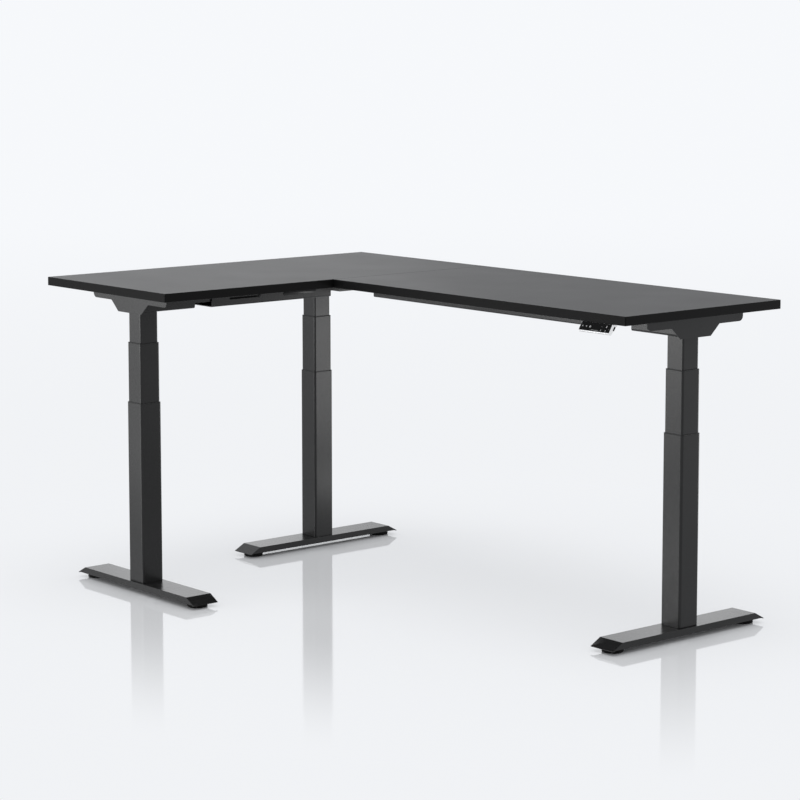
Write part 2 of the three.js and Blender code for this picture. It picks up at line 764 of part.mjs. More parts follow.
// Control box: a moulded case on two ears, with motor sockets on one side and the mains inlet.
function controlBoxSolid() {
  const y = legLineY + sleeveWidth / 2 + controlGap + controlWidth / 2;
  const bottom = mountFace - controlHeight;
  const back = y + controlWidth / 2;
  const body = prism(roundedRectangle(controlLength, controlWidth, controlRadius, THREE.Shape, controlX, y),
    bottom, mountFace, { edge: 1.5 });
  const earLength = controlLength + 2 * controlEar;
  const ears = prism(roundedRectangle(earLength, controlWidth * 0.4, 5, THREE.Shape, controlX, y),
    mountFace - controlEarHeight, mountFace);
  const earHoles = [-1, 1].map((side) => rod(woodScrewHole, mountFace - controlEarHeight - 1, mountFace + 1,
    { x: controlX + side * (controlLength / 2 + controlEar / 2), y, sides: 8 }));
  const socketZ = bottom + controlHeight / 2;
  const firstSocket = controlX - controlLength / 2 + 24;
  const sockets = Array.from({ length: socketCount }, (_, i) => {
    const outline = roundedRectangle(socketWidth, socketHeight, 1, THREE.Shape, firstSocket + i * socketPitch, socketZ);
    return prism(outline, back - socketDepth, back + 1, { along: 'y', segments: 1 });
  });
  const inletX = controlX + controlLength / 2 - 32;
  const inlet = prism(roundedRectangle(inletWidth, inletHeight, 6, THREE.Shape, inletX, socketZ),
    back - inletDepth, back + 1, { along: 'y' });
  return cut(body.add(ears), [...earHoles, ...sockets, inlet]);
}

// ---------------------------------------------------------------- handset

const handsetX = deskLength / 2 - handsetInset;
const tilt = THREE.MathUtils.degToRad(handsetTilt);

// A point of the handset's section in YZ: back is into the handset, up is along its face.
function handsetPoint(back, up) {
  return [
    mainFrontY + back * Math.cos(tilt) + up * Math.sin(tilt),
    mountFace - back * Math.sin(tilt) + up * Math.cos(tilt),
  ];
}

// Turns a solid built on the handset's face (X across, Y into it, Z up it) into the desk's frame.
function handsetGroup() {
  const group = new THREE.Group();
  group.position.set(handsetX, mainFrontY, mountFace);
  group.rotation.x = -tilt;
  return group;
}

const panelWidth = handsetWidth - 2 * handsetRim;
const recessDepth = panelThickness + seat;
const panelMiddle = -panelTop - panelHeight / 2;

// Wedge-shaped case on a flat tab, with a tray for the panel and a charging port in its side.
function handsetHousingSolid() {
  const tabUnder = mountFace - tabThickness;
  const backTop = (tabUnder - mountFace + handsetDepth * Math.sin(tilt)) / Math.cos(tilt);
  const section = filleted([
    [...handsetPoint(0, 0), 0],
    [...handsetPoint(0, -handsetFace), 1],
    [...handsetPoint(handsetFootDepth, -handsetFace), 3],
    [...handsetPoint(handsetDepth, backTop), 2],
    [mainFrontY + tabDepth, tabUnder, 0],
    [mainFrontY + tabDepth, mountFace, 0],
  ].reverse());
  const left = handsetX - handsetWidth / 2;
  const right = handsetX + handsetWidth / 2;
  const placed = (solid) => solid.rotate([-handsetTilt, 0, 0]).translate([handsetX, mainFrontY, mountFace]);
  const tray = prism(roundedRectangle(panelWidth, panelHeight, 1.5, THREE.Shape, 0, panelMiddle),
    -5, recessDepth, { along: 'y' });
  const port = prism(roundedRectangle(portHeight, portWidth, portHeight / 2 - 0.01, THREE.Shape,
    portBack, portUp), handsetWidth / 2 - portDepth, handsetWidth / 2 + 1, { along: 'x' });
  const tabHoles = [-1, 1].map((side) => rod(woodScrewHole, tabUnder - 1, mountFace + 1,
    { x: handsetX + side * handsetWidth * 0.34, y: mainFrontY + tabDepth - 10, sides: 8 }));
  const body = prism(section, left, right, { along: 'x', edge: handsetEdge });
  return cut(body, [placed(tray), placed(port), ...tabHoles]);
}

const tallKey = (name, x) => ({ name, x, up: panelMiddle, width: keyWidth, height: keyHeight });
const wideKey = (name, x, up) => ({ name, x, up, width: presetWidth, height: presetHeight });
const keys = [
  tallKey('key_up', firstKeyX),
  tallKey('key_down', firstKeyX + keyPitch),
  tallKey('key_memory', firstKeyX + 2 * keyPitch),
  wideKey('key_preset_1', lastPresetX, presetUpper),
  wideKey('key_preset_2', lastPresetX - presetPitch, presetLower),
  wideKey('key_preset_3', lastPresetX, presetLower),
];

// Gloss panel that fills the tray, with a hole for each key and a shallow display window.
function handsetPanelSolid() {
  const outline = roundedRectangle(panelWidth - seat, panelHeight - seat, 1.4, THREE.Shape, 0, panelMiddle);
  for (const { x, up, width, height } of keys) {
    outline.holes.push(roundedRectangle(width + 2 * keyGap, height + 2 * keyGap, keyRadius + keyGap,
      THREE.Path, x, up));
  }
  const display = prism(roundedRectangle(displayWidth, displayHeight, 1, THREE.Shape, displayX, displayUp),
    -1, displayRecess, { along: 'y', segments: 1 });
  return prism(outline, 0, panelThickness, { along: 'y' }).subtract(display);
}

function keySolid({ x, up, width, height }) {
  return prism(roundedRectangle(width, height, keyRadius, THREE.Shape, x, up),
    0, keyThickness, { along: 'y', edge: keyTravel / 4 });
}

// ---------------------------------------------------------------- assembly

const desk = new THREE.Group();

const cornerLeg = leg('corner', 1);
cornerLeg.position.set(cornerLegX, legLineY, 0);
cornerLeg.rotation.z = -Math.PI / 2;

const rightLeg = leg('right', -1);
rightLeg.position.set(rightLegX, legLineY, 0);
rightLeg.rotation.z = Math.PI / 2;

const leftLeg = leg('left', 1);
leftLeg.position.set(leftLegX, leftLegY, 0);

const handset = handsetGroup();
handset.add(
  piece('handset_panel', handsetPanelSolid(), 'glossBlack'),
  ...keys.map((key) => piece(key.name, keySolid(key), 'glossBlack')),
);

desk.add(
  cornerLeg,
  rightLeg,
  leftLeg,
  piece('main_sleeve', mainSleeveSolid(), 'powderCoat'),
  piece('wing_sleeve', wingSleeveSolid(), 'powderCoat'),
  piece('corner_rail', railSolid('x', legLineY, cornerLegX, mainSleeveStartX, railOverlap, 1), 'powderCoat'),
  piece('right_rail', railSolid('x', legLineY, rightLegX, mainSleeveEndX, railOverlap, -1), 'powderCoat'),
  piece('left_rail', railSolid('y', leftLegX, leftLegY, wingSleeveStartY, wingRailOverlap, 1), 'powderCoat'),
  piece('wing_tee_rail', teeRailSolid(), 'powderCoat'),
  piece('wing_board', wingBoardSolid(), 'laminate'),
  piece('main_board', mainBoardSolid(), 'laminate'),
  piece('joining_plate', joiningPlateSolid(), 'powderCoat'),
  piece('control_box', controlBoxSolid(), 'blackPlastic'),
  piece('handset_housing', handsetHousingSolid(), 'silverPlastic'),
  handset,
);

export default desk;
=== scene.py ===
# %% [markdown]
# # A height adjustable corner desk
#
# The desk is two black boards on three telescopic steel legs. Its solids come packed, as a fixed
# frame of named nodes that ride on named bodies. This lesson dresses that frame: it sets a camera
# and a pale studio, mixes a finish for each material, softens the folded steel, and models the
# small hardware that the frame leaves out. Everything is in metres, and +Z is up.

import json
import math

import bmesh
import bpy
from mathutils import Matrix, Vector

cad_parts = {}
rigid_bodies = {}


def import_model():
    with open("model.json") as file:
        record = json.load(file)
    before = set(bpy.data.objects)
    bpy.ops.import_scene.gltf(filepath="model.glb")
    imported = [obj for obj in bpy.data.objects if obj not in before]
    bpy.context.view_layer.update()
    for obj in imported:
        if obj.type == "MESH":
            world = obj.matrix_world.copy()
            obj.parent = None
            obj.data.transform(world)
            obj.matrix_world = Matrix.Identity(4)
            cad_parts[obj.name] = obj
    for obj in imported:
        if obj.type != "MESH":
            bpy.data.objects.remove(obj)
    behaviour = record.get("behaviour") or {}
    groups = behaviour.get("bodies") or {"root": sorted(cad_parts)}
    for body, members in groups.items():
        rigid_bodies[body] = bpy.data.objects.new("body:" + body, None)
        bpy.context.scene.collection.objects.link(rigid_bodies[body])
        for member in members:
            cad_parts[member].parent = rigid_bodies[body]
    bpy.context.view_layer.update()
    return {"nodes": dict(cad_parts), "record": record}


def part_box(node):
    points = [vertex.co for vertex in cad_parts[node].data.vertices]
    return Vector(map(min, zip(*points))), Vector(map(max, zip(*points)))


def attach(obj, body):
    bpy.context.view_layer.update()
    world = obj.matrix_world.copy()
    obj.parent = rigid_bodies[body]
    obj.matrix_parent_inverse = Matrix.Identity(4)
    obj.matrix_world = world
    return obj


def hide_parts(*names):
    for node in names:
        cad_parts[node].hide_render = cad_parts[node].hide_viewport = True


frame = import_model()
nodes = frame["nodes"]

# %% [markdown]
# ## The camera
#
# A long lens from well away keeps the legs nearly parallel. The camera stands in front of the main
# board's right end, at eye height, and looks back along the desk. It could be aimed at a target
# with a constraint, but plain angles are easier to read: a heading about Z, then a dip below the
# horizon. A small lens shift does the rest of the framing.

# %% Place the camera
SENSOR_WIDTH = 36
FOCAL_LENGTH = 115.61
LENS_SHIFT = -0.10
CLIP_NEAR, CLIP_FAR = 0.1, 400
STANDPOINT = (5.5333, -4.6889, 1.6998)
HEADING = -0.8676  # radians from the Y axis, clockwise as seen from above
DIP = 0.1217  # radians below the horizon
lens = bpy.data.cameras.new("camera")
lens.sensor_width = SENSOR_WIDTH
lens.lens = FOCAL_LENGTH
lens.shift_y = LENS_SHIFT
lens.clip_start = CLIP_NEAR
lens.clip_end = CLIP_FAR
camera = bpy.data.objects.new("camera", lens)
bpy.context.scene.collection.objects.link(camera)
camera.location = STANDPOINT
along = Vector((math.sin(HEADING), math.cos(HEADING), -math.tan(DIP)))
camera.rotation_euler = along.to_track_quat("-Z", "Y").to_euler()
bpy.context.scene.camera = camera
bpy.context.scene.view_settings.view_transform = "Standard"
print("lens:", round(lens.lens, 1), "mm")

# %% [markdown]
# ## Shader arithmetic
#
# A finish is a small graph of nodes. Wiring each Math node by hand hides the idea, so one class
# wraps a socket, and ordinary operators on it add the Math nodes. Its one method adds any other
# node from a type, its settings, and the values or wires of its inputs.


# %% A socket that does arithmetic
class Wire:
    """A place in a node tree. Arithmetic adds Math nodes, and node() adds any other node."""

    def __init__(self, tree, socket=None):
        self.tree = tree
        self.socket = socket

    def node(self, kind, settings=None, inputs=None, output=0):
        """Adds a node, sets it up, wires or fills its inputs, and returns one of its outputs."""
        made = self.tree.nodes.new(kind)
        for name, value in (settings or {}).items():
            setattr(made, name, value)
        for name, value in (inputs or {}).items():
            if isinstance(value, Wire):
                self.tree.links.new(value.socket, made.inputs[name])
            else:
                made.inputs[name].default_value = value
        return None if output is None else Wire(self.tree, made.outputs[output])

    def __add__(self, other):
        return self.node("ShaderNodeMath", {"operation": "ADD"}, {0: self, 1: other})

    def __sub__(self, other):
        return self.node("ShaderNodeMath", {"operation": "SUBTRACT"}, {0: self, 1: other})

    def __rsub__(self, other):
        return self.node("ShaderNodeMath", {"operation": "SUBTRACT"}, {0: other, 1: self})

    def __mul__(self, other):
        return self.node("ShaderNodeMath", {"operation": "MULTIPLY"}, {0: self, 1: other})

    __radd__ = __add__
    __rmul__ = __mul__


print("shader arithmetic ready")

# %% [markdown]
# ## The studio
#
# The desk stands on a glossy white floor that runs out to a white surround. The world shows the
# camera and every reflection one pale page, and what it sheds on the desk is set by itself. The
# floor is a real lit surface near the desk, so it keeps the shadows. Further out it turns into the
# same page, which leaves no horizon.

# %% Make the world
PAGE = (0.925, 0.940, 0.965, 1)
WORLD_LIGHT = 0.6


def page_strength(pen):
    """Full strength for what is seen or reflected, and the plain level for what is lit."""
    rays = ("Is Camera Ray", "Is Glossy Ray", "Is Transmission Ray")
    seen, mirrored, refracted = [pen.node("ShaderNodeLightPath", output=ray) for ray in rays]
    only_lights = 1 - (seen + mirrored + refracted)
    return 1 - only_lights * (1 - WORLD_LIGHT)


world = bpy.data.worlds.new("studio")
bpy.context.scene.world = world
world.use_nodes = True
world.node_tree.nodes.clear()
pen = Wire(world.node_tree)
page = pen.node("ShaderNodeBackground", {}, {"Color": PAGE, "Strength": page_strength(pen)})
pen.node("ShaderNodeOutputWorld", {}, {"Surface": page}, output=None)
print("world light:", WORLD_LIGHT)

# %% [markdown]
# A polished floor mirrors most where the eye skims along it, and hardly at all from above. Layer
# Weight reads that angle. The mirror dies away toward the front and all round, where the page takes
# over. Ambient Occlusion looks a hand's width around each point, and holds the page back right
# under the feet, so the contact there stays dark.

# %% Take the floor's readings
FLOOR_SIZE = 240
FRONT = (0.547, -0.837, 0)  # a direction along the floor, toward the front
CONTACT = 0.10  # how far the shade under the feet reaches
SAMPLES = 16
FACING_BLEND = 0.5
bpy.ops.mesh.primitive_plane_add(size=FLOOR_SIZE, location=(0, 0, 0))
floor = bpy.context.object
floor.name = "floor"
paint = bpy.data.materials.new("white floor")
paint.use_nodes = True
paint.node_tree.nodes.clear()
floor.data.materials.append(paint)
pen = Wire(paint.node_tree)
place = pen.node("ShaderNodeTexCoord", output="Object")
away = pen.node("ShaderNodeVectorMath", {"operation": "LENGTH"}, {0: place}, output="Value")
dot = {"operation": "DOT_PRODUCT"}
ahead = pen.node("ShaderNodeVectorMath", dot, {0: place, 1: FRONT}, output="Value")
skim = pen.node("ShaderNodeLayerWeight", {}, {"Blend": FACING_BLEND}, output="Facing")
look = {"samples": SAMPLES}
clear = pen.node("ShaderNodeAmbientOcclusion", look, {"Distance": CONTACT}, output="AO")
print("floor laid:", FLOOR_SIZE, "m across")

# %% Mix the floor's paint
FLOOR_COLOR = (0.96, 0.965, 0.975, 1)
WHITE = (1, 1, 1, 1)
FLOOR_MIRROR = 0.53
FLOOR_ROUGHNESS = 0.06
STEEP, SKIMMING = 0.2, 0.55
PAGE_SHARE = 0.4  # the least share of the page, in the middle
NEAR, FAR = 0.7, 1.9  # how far out the page takes over, all round
FRONT_NEAR, FRONT_FAR = 0.4, 1.53  # the same toward the front
# Painted shade: the page's glow on the floor is dimmed toward the middle, around the desk.
PAGE_SHADE = 0.95  # the page's strength in the middle
PAGE_SHADE_NEAR, PAGE_SHADE_FAR = 2.0, 14.0


def ease(reading, near, far, start, end):
    """A value that goes smoothly from start to end while a reading goes from near to far."""
    limits = {"Value": reading, "From Min": near, "From Max": far, "To Min": start, "To Max": end}
    return reading.node("ShaderNodeMapRange", {"interpolation_type": "SMOOTHSTEP"}, limits)


matt = pen.node("ShaderNodeBsdfDiffuse", {}, {"Color": FLOOR_COLOR})
mirror = pen.node("ShaderNodeBsdfGlossy", {}, {"Color": WHITE, "Roughness": FLOOR_ROUGHNESS})
polish = ease(skim, STEEP, SKIMMING, 0, FLOOR_MIRROR)
lit = pen.node("ShaderNodeMixShader", {}, {0: polish, 1: matt, 2: mirror})
# The glow rises from the dimmed middle to full strength far out: painted shade around the desk.
glow = page_strength(pen) * ease(away, PAGE_SHADE_NEAR, PAGE_SHADE_FAR, PAGE_SHADE, 1)
page = pen.node("ShaderNodeEmission", {}, {"Color": PAGE, "Strength": glow})
around = ease(away, NEAR, FAR, PAGE_SHARE, 1)
in_front = ease(ahead, FRONT_NEAR, FRONT_FAR, PAGE_SHARE, 1)
share = pen.node("ShaderNodeMath", {"operation": "MAXIMUM"}, {0: around, 1: in_front}) * clear
both = pen.node("ShaderNodeMixShader", {}, {0: share, 1: lit, 2: page})
pen.node("ShaderNodeOutputMaterial", {}, {"Surface": both}, output=None)
print("mirror share of the paint:", FLOOR_MIRROR)

# %% [markdown]
# Large lamps shape the steel: two from the left front, one overhead, and low ones behind, whose
# light grazes the boards and the feet. Small ones near the floor carry the sheen down each leg.
# Light linking keeps the low and the small lamps off the floor, where they would pool.

# %% Hang the lamps
LAMPS = {  # place, target, width, watts, and whether the lamp lights the floor
    "key": ((-3.0, -4.6, 0.6), (0, 0, 0.4), 2.2, 97, True),
    "left": ((-3.9, -3.0, 0.5), (-0.6, -0.5, 0.5), 0.8, 3.6, True),
    "corner": ((1.3, 2.0, 0.28), (-0.75, 0.3, 0.3), 0.7, 7.5, False),
    "corner low": ((0.25, 1.1, 0.17), (-0.75, 0.3, 0.1), 0.3, 0.35, False),
    "back": ((-7.5, 4.2, 2.4), (0, 0, 0.3), 4.0, 18.5, False),
    "back low": ((-2.6, 1.2, 0.5), (-0.6, -0.5, 0.1), 0.8, 0.5, False),
    "right low": ((-0.9, 2.1, 0.45), (0.82, 0.3, 0.1), 0.8, 1.35, False),
    "left middle": ((-2.2, -1.63, 0.11), (-0.57, -0.49, 0.45), 0.5, 0.5, False),
    "right middle": ((-0.92, -1.18, 0.22), (0.82, 0.3, 0.5), 0.5, 1.15, False),
    "corner foot": ((-0.11, 0.81, 0.055), (-0.75, 0.3, 0.12), 0.1, 0.17, False),
    "top": ((0.2, -0.2, 4.4), (0, 0, 0.8), 3.0, 60, True),
}
spared = bpy.data.collections.new("spared by the low lamps")
spared.objects.link(floor)
spared.collection_objects[0].light_linking.link_state = "EXCLUDE"
for name, (place, target, size, watts, lights_floor) in LAMPS.items():
    lamp = bpy.data.lights.new(name, "AREA")
    lamp.shape = "DISK"
    lamp.size = size
    lamp.energy = watts
    holder = bpy.data.objects.new(name, lamp)
    holder.location = place
    holder.rotation_euler = (Vector(target) - Vector(place)).to_track_quat("-Z", "Y").to_euler()
    holder.visible_camera = False
    bpy.context.scene.collection.objects.link(holder)
    if not lights_floor:
        holder.light_linking.receiver_collection = spared
print("lamps:", ", ".join(LAMPS))

# %% [markdown]
# ## The finishes
#
# Each finish starts from one recipe: a Principled shader whose constant values are set on its own
# sockets, with noise in object coordinates behind the sockets that vary. Object coordinates keep
# the grain at its real size on every piece.


# %% Start a finish
EVEN = (1, 1, 1)


def new_finish(name, **constants):
    """Returns a material and its shader node, with the constants set on the shader."""
    material = bpy.data.materials.new(name)
    material.use_nodes = True
    shader = material.node_tree.nodes["Principled BSDF"]
    for socket, value in constants.items():
        shader.inputs[socket.replace("_", " ")].default_value = value
    return material, shader


def grain(pen, size, detail=2.0, stretch=EVEN):
    """Noise whose spots are about this size, in metres."""
    place = pen.node("ShaderNodeTexCoord", output="Object")
    place = pen.node("ShaderNodeMapping", {}, {"Vector": place, "Scale": stretch})
    return pen.node("ShaderNodeTexNoise", {}, {"Vector": place, "Scale": 1 / size, "Detail": detail})


def connect(shader, **wires):
    """Wires up sockets of the shader, named with _ for a space."""
    for socket, wire in wires.items():
        wire.tree.links.new(wire.socket, shader.inputs[socket.replace("_", " ")])


def bump(height, distance, strength=0.3):
    """Relief whose full height is this distance, in metres, and which shows at part strength."""
    inputs = {"Height": height, "Distance": distance, "Strength": strength}
    return height.node("ShaderNodeBump", {}, inputs)


def blend_colors(factor, first, second):
    colors = {"Factor": factor, 6: first, 7: second}
    return factor.node("ShaderNodeMix", {"data_type": "RGBA"}, colors, output=2)


def grey(value):
    return (value, value, value, 1)


print("finish recipe ready")

# %% [markdown]
# Black laminate covers the boards. It is a pressed sheet with a fine pore that scatters the light.
# Seen along its surface it reflects the room as a soft grey, and seen square on it is nearly black,
# so its shader has a low reflectance head on and a middling roughness. The narrow sides get a second
# shader in a duller and deeper black, which is painted shade on the sides. Both are one material:
# the surface's own normal tells the broad faces from the narrow ones, and mixes two shaders.


# %% Mix the black laminate
PLASTIC_IOR = 1.5
PORE, PORE_DEPTH = 0.0011, 0.00004
CLOUD = 0.18
SHEET_BLACK, SHEET_GREY = 0.007, 0.010
SHEET_ROUGHNESS = 0.36
STREAK, STREAK_STRETCH = 0.004, (1, 1, 0.2)
# Painted shade: the narrow sides get a darker and duller black than the broad faces.
SHADED_SIDE_BLACK, SHADED_SIDE_GREY = 0.004, 0.006
SHADED_SIDE_ROUGHNESS, SHADED_SIDE_DEPTH = 0.44, 0.00003
BROAD_FACE = 0.5


def laminate():
    material, sheet = new_finish("black laminate", IOR=PLASTIC_IOR, Specular_IOR_Level=0.12)
    pen = Wire(material.node_tree)
    pores = grain(pen, PORE, detail=3)
    clouds = grain(pen, CLOUD)
    connect(
        sheet,
        Base_Color=blend_colors(clouds, grey(SHEET_BLACK), grey(SHEET_GREY)),
        Roughness=pores * 0.06 + clouds * 0.05 + SHEET_ROUGHNESS,
        Normal=bump(pores, PORE_DEPTH),
    )
    streaks = grain(pen, STREAK, stretch=STREAK_STRETCH)
    # A darker, duller copy of the sheet for the narrow sides: painted shade.
    shaded_side_inputs = {
        "IOR": PLASTIC_IOR,
        "Specular IOR Level": 0.06,
        "Base Color": blend_colors(streaks, grey(SHADED_SIDE_BLACK), grey(SHADED_SIDE_GREY)),
        "Roughness": streaks * 0.06 + SHADED_SIDE_ROUGHNESS,
        "Normal": bump(pores, SHADED_SIDE_DEPTH),
    }
    shaded_sides = pen.node("ShaderNodeBsdfPrincipled", {}, shaded_side_inputs)
    upright = pen.node("ShaderNodeNewGeometry", output="Normal")
    upright = upright.node("ShaderNodeSeparateXYZ", {}, {"Vector": upright}, output="Z")
    broad = upright.node("ShaderNodeMath", {"operation": "ABSOLUTE"}, {0: upright})
    broad = broad.node("ShaderNodeMath", {"operation": "GREATER_THAN"}, {0: broad, 1: BROAD_FACE})
    both = pen.node("ShaderNodeMixShader", {}, {0: broad, 1: shaded_sides, 2: Wire(pen.tree, sheet.outputs[0])})
    pen.tree.links.new(both.socket, pen.tree.nodes["Material Output"].inputs["Surface"])
    return material


black_laminate = laminate()
print(black_laminate.name)

# %% [markdown]
# Powder coat covers the steel. It is baked plastic, evenly black, with the slight orange peel of
# paint that has flowed, so its gloss is broken up by ripples about two millimetres across.


# %% Mix the powder coat
PEEL = 0.0022
DUST = 0.0006
DRIFT = 0.12
COAT_BLACK, COAT_GREY = 0.008, 0.011
COAT_ROUGHNESS, COAT_DEPTH = 0.22, 0.00006


def powder_coat():
    material, shader = new_finish("black powder coat", IOR=PLASTIC_IOR, Specular_IOR_Level=0.30)
    pen = Wire(material.node_tree)
    peel = grain(pen, PEEL, detail=1)
    dust = grain(pen, DUST)
    drift = grain(pen, DRIFT)
    connect(
        shader,
        Base_Color=blend_colors(drift, grey(COAT_BLACK), grey(COAT_GREY)),
        Roughness=dust * 0.06 + drift * 0.04 + COAT_ROUGHNESS,
        Normal=bump(peel * 0.7 + dust * 0.3, COAT_DEPTH),
    )
    return material


black_coat = powder_coat()
print(black_coat.name)

# %% [markdown]
# The mouldings share one recipe: a plastic skin with fine spark texture. Only colour, gloss and
# depth of texture differ between the bushes, the control box, the rubber pads and the print.


# %% Mix the plastics and the rubber
SPARK = 0.0005
FLOW = 0.03


def moulded(name, dark, light, roughness, depth, specular=0.5):
    """A moulding between two greys, with a texture of this depth in metres."""
    material, shader = new_finish(name, IOR=PLASTIC_IOR, Specular_IOR_Level=specular)
    pen = Wire(material.node_tree)
    spark = grain(pen, SPARK)
    flow = grain(pen, FLOW)
    connect(
        shader,
        Base_Color=blend_colors(flow, grey(dark), grey(light)),
        Roughness=spark * 0.08 + flow * 0.05 + roughness,
        Normal=bump(spark, depth),
    )
    return material


matt_plastic = moulded("black moulding", 0.010, 0.014, roughness=0.42, depth=0.00004, specular=0.35)
rubber = moulded("glide rubber", 0.004, 0.007, roughness=0.72, depth=0.00008, specular=0.12)
gloss_black = moulded("gloss black", 0.003, 0.004, roughness=0.08, depth=0.000002, specular=0.05)
white_print = moulded("white print", 0.70, 0.76, roughness=0.45, depth=0.000005)
dim_print = moulded("dim print", 0.32, 0.38, roughness=0.45, depth=0.000005)
plastics = (matt_plastic, rubber, gloss_black, white_print, dim_print)
print("plastics:", ", ".join(material.name for material in plastics))

# %% [markdown]
# Bare steel shows only inside the columns and on the screws. Turning leaves fine rings, which
# stretched noise gives. The motor's can is plated darker, and the handset's case is a plastic
# that carries metallic paint, so it takes the same recipe with a pale colour.


# %% Mix the metals
TURNED = (0.2, 0.2, 6)
RING_DEPTH = 0.00002


def metal(name, dark, light, roughness, size, stretch=TURNED, metallic=1.0):
    """A metal between two greys, with rings or flakes of this size in metres."""
    material, shader = new_finish(name, Metallic=metallic)
    pen = Wire(material.node_tree)
    rings = grain(pen, size, stretch=stretch)
    connect(
        shader,
        Base_Color=blend_colors(rings, grey(dark), grey(light)),
        Roughness=rings * 0.14 + roughness,
        Normal=bump(rings, RING_DEPTH),
    )
    return material


bright_steel = metal("turned steel", 0.42, 0.56, roughness=0.24, size=0.004)
motor_zinc = metal("dark zinc", 0.10, 0.15, roughness=0.36, size=0.01)
screw_black = metal("blackened screw", 0.035, 0.05, roughness=0.38, size=0.003)
brass = metal("contact brass", 0.42, 0.50, roughness=0.25, size=0.001)
silver = metal("silver paint", 0.80, 0.86, roughness=0.26, size=0.0006, stretch=EVEN, metallic=0.8)
metals = (bright_steel, motor_zinc, screw_black, brass, silver)
print("metals:", ", ".join(material.name for material in metals))

# %% [markdown]
# ## Dressing the frame
#
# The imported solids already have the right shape. Each gets its finish and, but for the glides,
# two live modifiers that leave its mesh alone: Weld closes the loose triangles, and a narrow Bevel
# rounds the edges that folding, sawing or moulding leaves on the real piece, so that they catch
# the light.

# %% Give each node its finish
FINISH_OF_SLOT = {
    "black_board": black_laminate,
    "powder_coated_steel": black_coat,
    "black_plastic": matt_plastic,
    "glide_rubber": rubber,
    "bright_steel": bright_steel,
    "motor_can": motor_zinc,
    "silver_plastic": silver,
    "gloss_panel": gloss_black,
}
slot_of = {part["node"]: part["material_slot"] for part in frame["record"]["subparts"]}
for name, obj in nodes.items():
    for slot in obj.material_slots:
        slot.material = FINISH_OF_SLOT[slot_of[name]]
print("finished nodes:", len(nodes))


# %% Soften their edges
MM = 0.001
WELD_GAP = 0.01 * MM
SHARP = math.radians(18)


def soften(obj, width):
    weld = obj.modifiers.new("close", "WELD")
    weld.merge_threshold = WELD_GAP
    edge = obj.modifiers.new("edge", "BEVEL")
    edge.limit_method = "ANGLE"
    edge.angle_limit = SHARP
    edge.width = width
    edge.segments = 2
    edge.use_clamp_overlap = True


EDGE_WIDTH = {
    "black_board": 0.4 * MM,
    "powder_coated_steel": 0.4 * MM,
    "black_plastic": 0.25 * MM,
    "bright_steel": 0.3 * MM,
    "motor_can": 0.4 * MM,
    "silver_plastic": 0.25 * MM,
    "gloss_panel": 0.08 * MM,
}
for name, obj in nodes.items():
    if slot_of[name] in EDGE_WIDTH:
        soften(obj, EDGE_WIDTH[slot_of[name]])
print("softened nodes:", sum(slot_of[name] in EDGE_WIDTH for name in nodes))

# %% [markdown]
# ## Hand tools
#
# New pieces are modelled as by hand: add a primitive, pick faces or edges by where they are, and
# extrude, inset or bevel them. These helpers do the picking, and settle a finished piece with its
# place in its mesh, its finish and the body that carries it.


# %% Select and edit
SMOOTH_BELOW = math.radians(30)


def take(obj):
    bpy.ops.object.select_all(action="DESELECT")
    obj.select_set(True)
    bpy.context.view_layer.objects.active = obj


def edit(obj):
    take(obj)
    bpy.ops.object.transform_apply(location=True, rotation=True, scale=True)
    bpy.ops.object.mode_set(mode="EDIT")
    bpy.ops.mesh.select_all(action="DESELECT")


def leave():
    bpy.ops.object.mode_set(mode="OBJECT")
    bpy.ops.object.shade_smooth_by_angle(angle=SMOOTH_BELOW)
    return bpy.context.object


def push(x=0.0, y=0.0, z=0.0):
    bpy.ops.mesh.extrude_region_move(TRANSFORM_OT_translate={"value": (x, y, z)})


print("editing tools ready")


# %% Pick faces and edges
def pick_faces(test):
    """Selects the faces whose middle and normal pass the test."""
    bpy.ops.mesh.select_mode(type="FACE")
    bpy.ops.mesh.select_all(action="DESELECT")
    mesh = bmesh.from_edit_mesh(bpy.context.object.data)
    for face in mesh.faces:
        face.select_set(test(face.calc_center_median(), face.normal))
    bmesh.update_edit_mesh(bpy.context.object.data)


def pick_edges(test):
    """Selects the edges whose two ends pass the test."""
    bpy.ops.mesh.select_mode(type="EDGE")
    bpy.ops.mesh.select_all(action="DESELECT")
    mesh = bmesh.from_edit_mesh(bpy.context.object.data)
    for line in mesh.edges:
        line.select_set(test(*(end.co for end in line.verts)))
    bmesh.update_edit_mesh(bpy.context.object.data)


print("picking tools ready")


# %% Say which ones
HAIR = 0.01 * MM  # the slack when a place is compared
SQUARE_ON = 0.9  # how nearly a normal has to lie along Z


def top_face(centre, normal):
    return normal.z > SQUARE_ON


def sole_face(centre, normal):
    return normal.z < -SQUARE_ON


def flat_face(centre, normal):
    return abs(normal.z) > SQUARE_ON


def upright_edge(a, b):
    return abs(a.z - b.z) > HAIR


def edge_at(level):
    """The test for edges that lie at this level or above it."""
    return lambda a, b: min(a.z, b.z) > level - HAIR


def round_off(test, width, segments=2):
    """Bevels the edges that pass the test."""
    pick_edges(test)
    bpy.ops.mesh.bevel(offset=width, segments=segments)


print("slack:", HAIR / MM, "mm")


# %% Start from a primitive
def start_disk(radius, low, high, sides=28):
    """A round bar along Z, in edit mode."""
    bpy.ops.object.select_all(action="DESELECT")
    bpy.ops.mesh.primitive_cylinder_add(
        vertices=sides, radius=radius, depth=high - low, location=(0, 0, (low + high) / 2),
    )
    edit(bpy.context.object)


def start_block(width, height, low, high):
    """A block centred on Z, in edit mode."""
    bpy.ops.object.select_all(action="DESELECT")
    bpy.ops.mesh.primitive_cube_add(
        size=1, location=(0, 0, (low + high) / 2), scale=(width, height, high - low),
    )
    edit(bpy.context.object)


print("primitives ready")


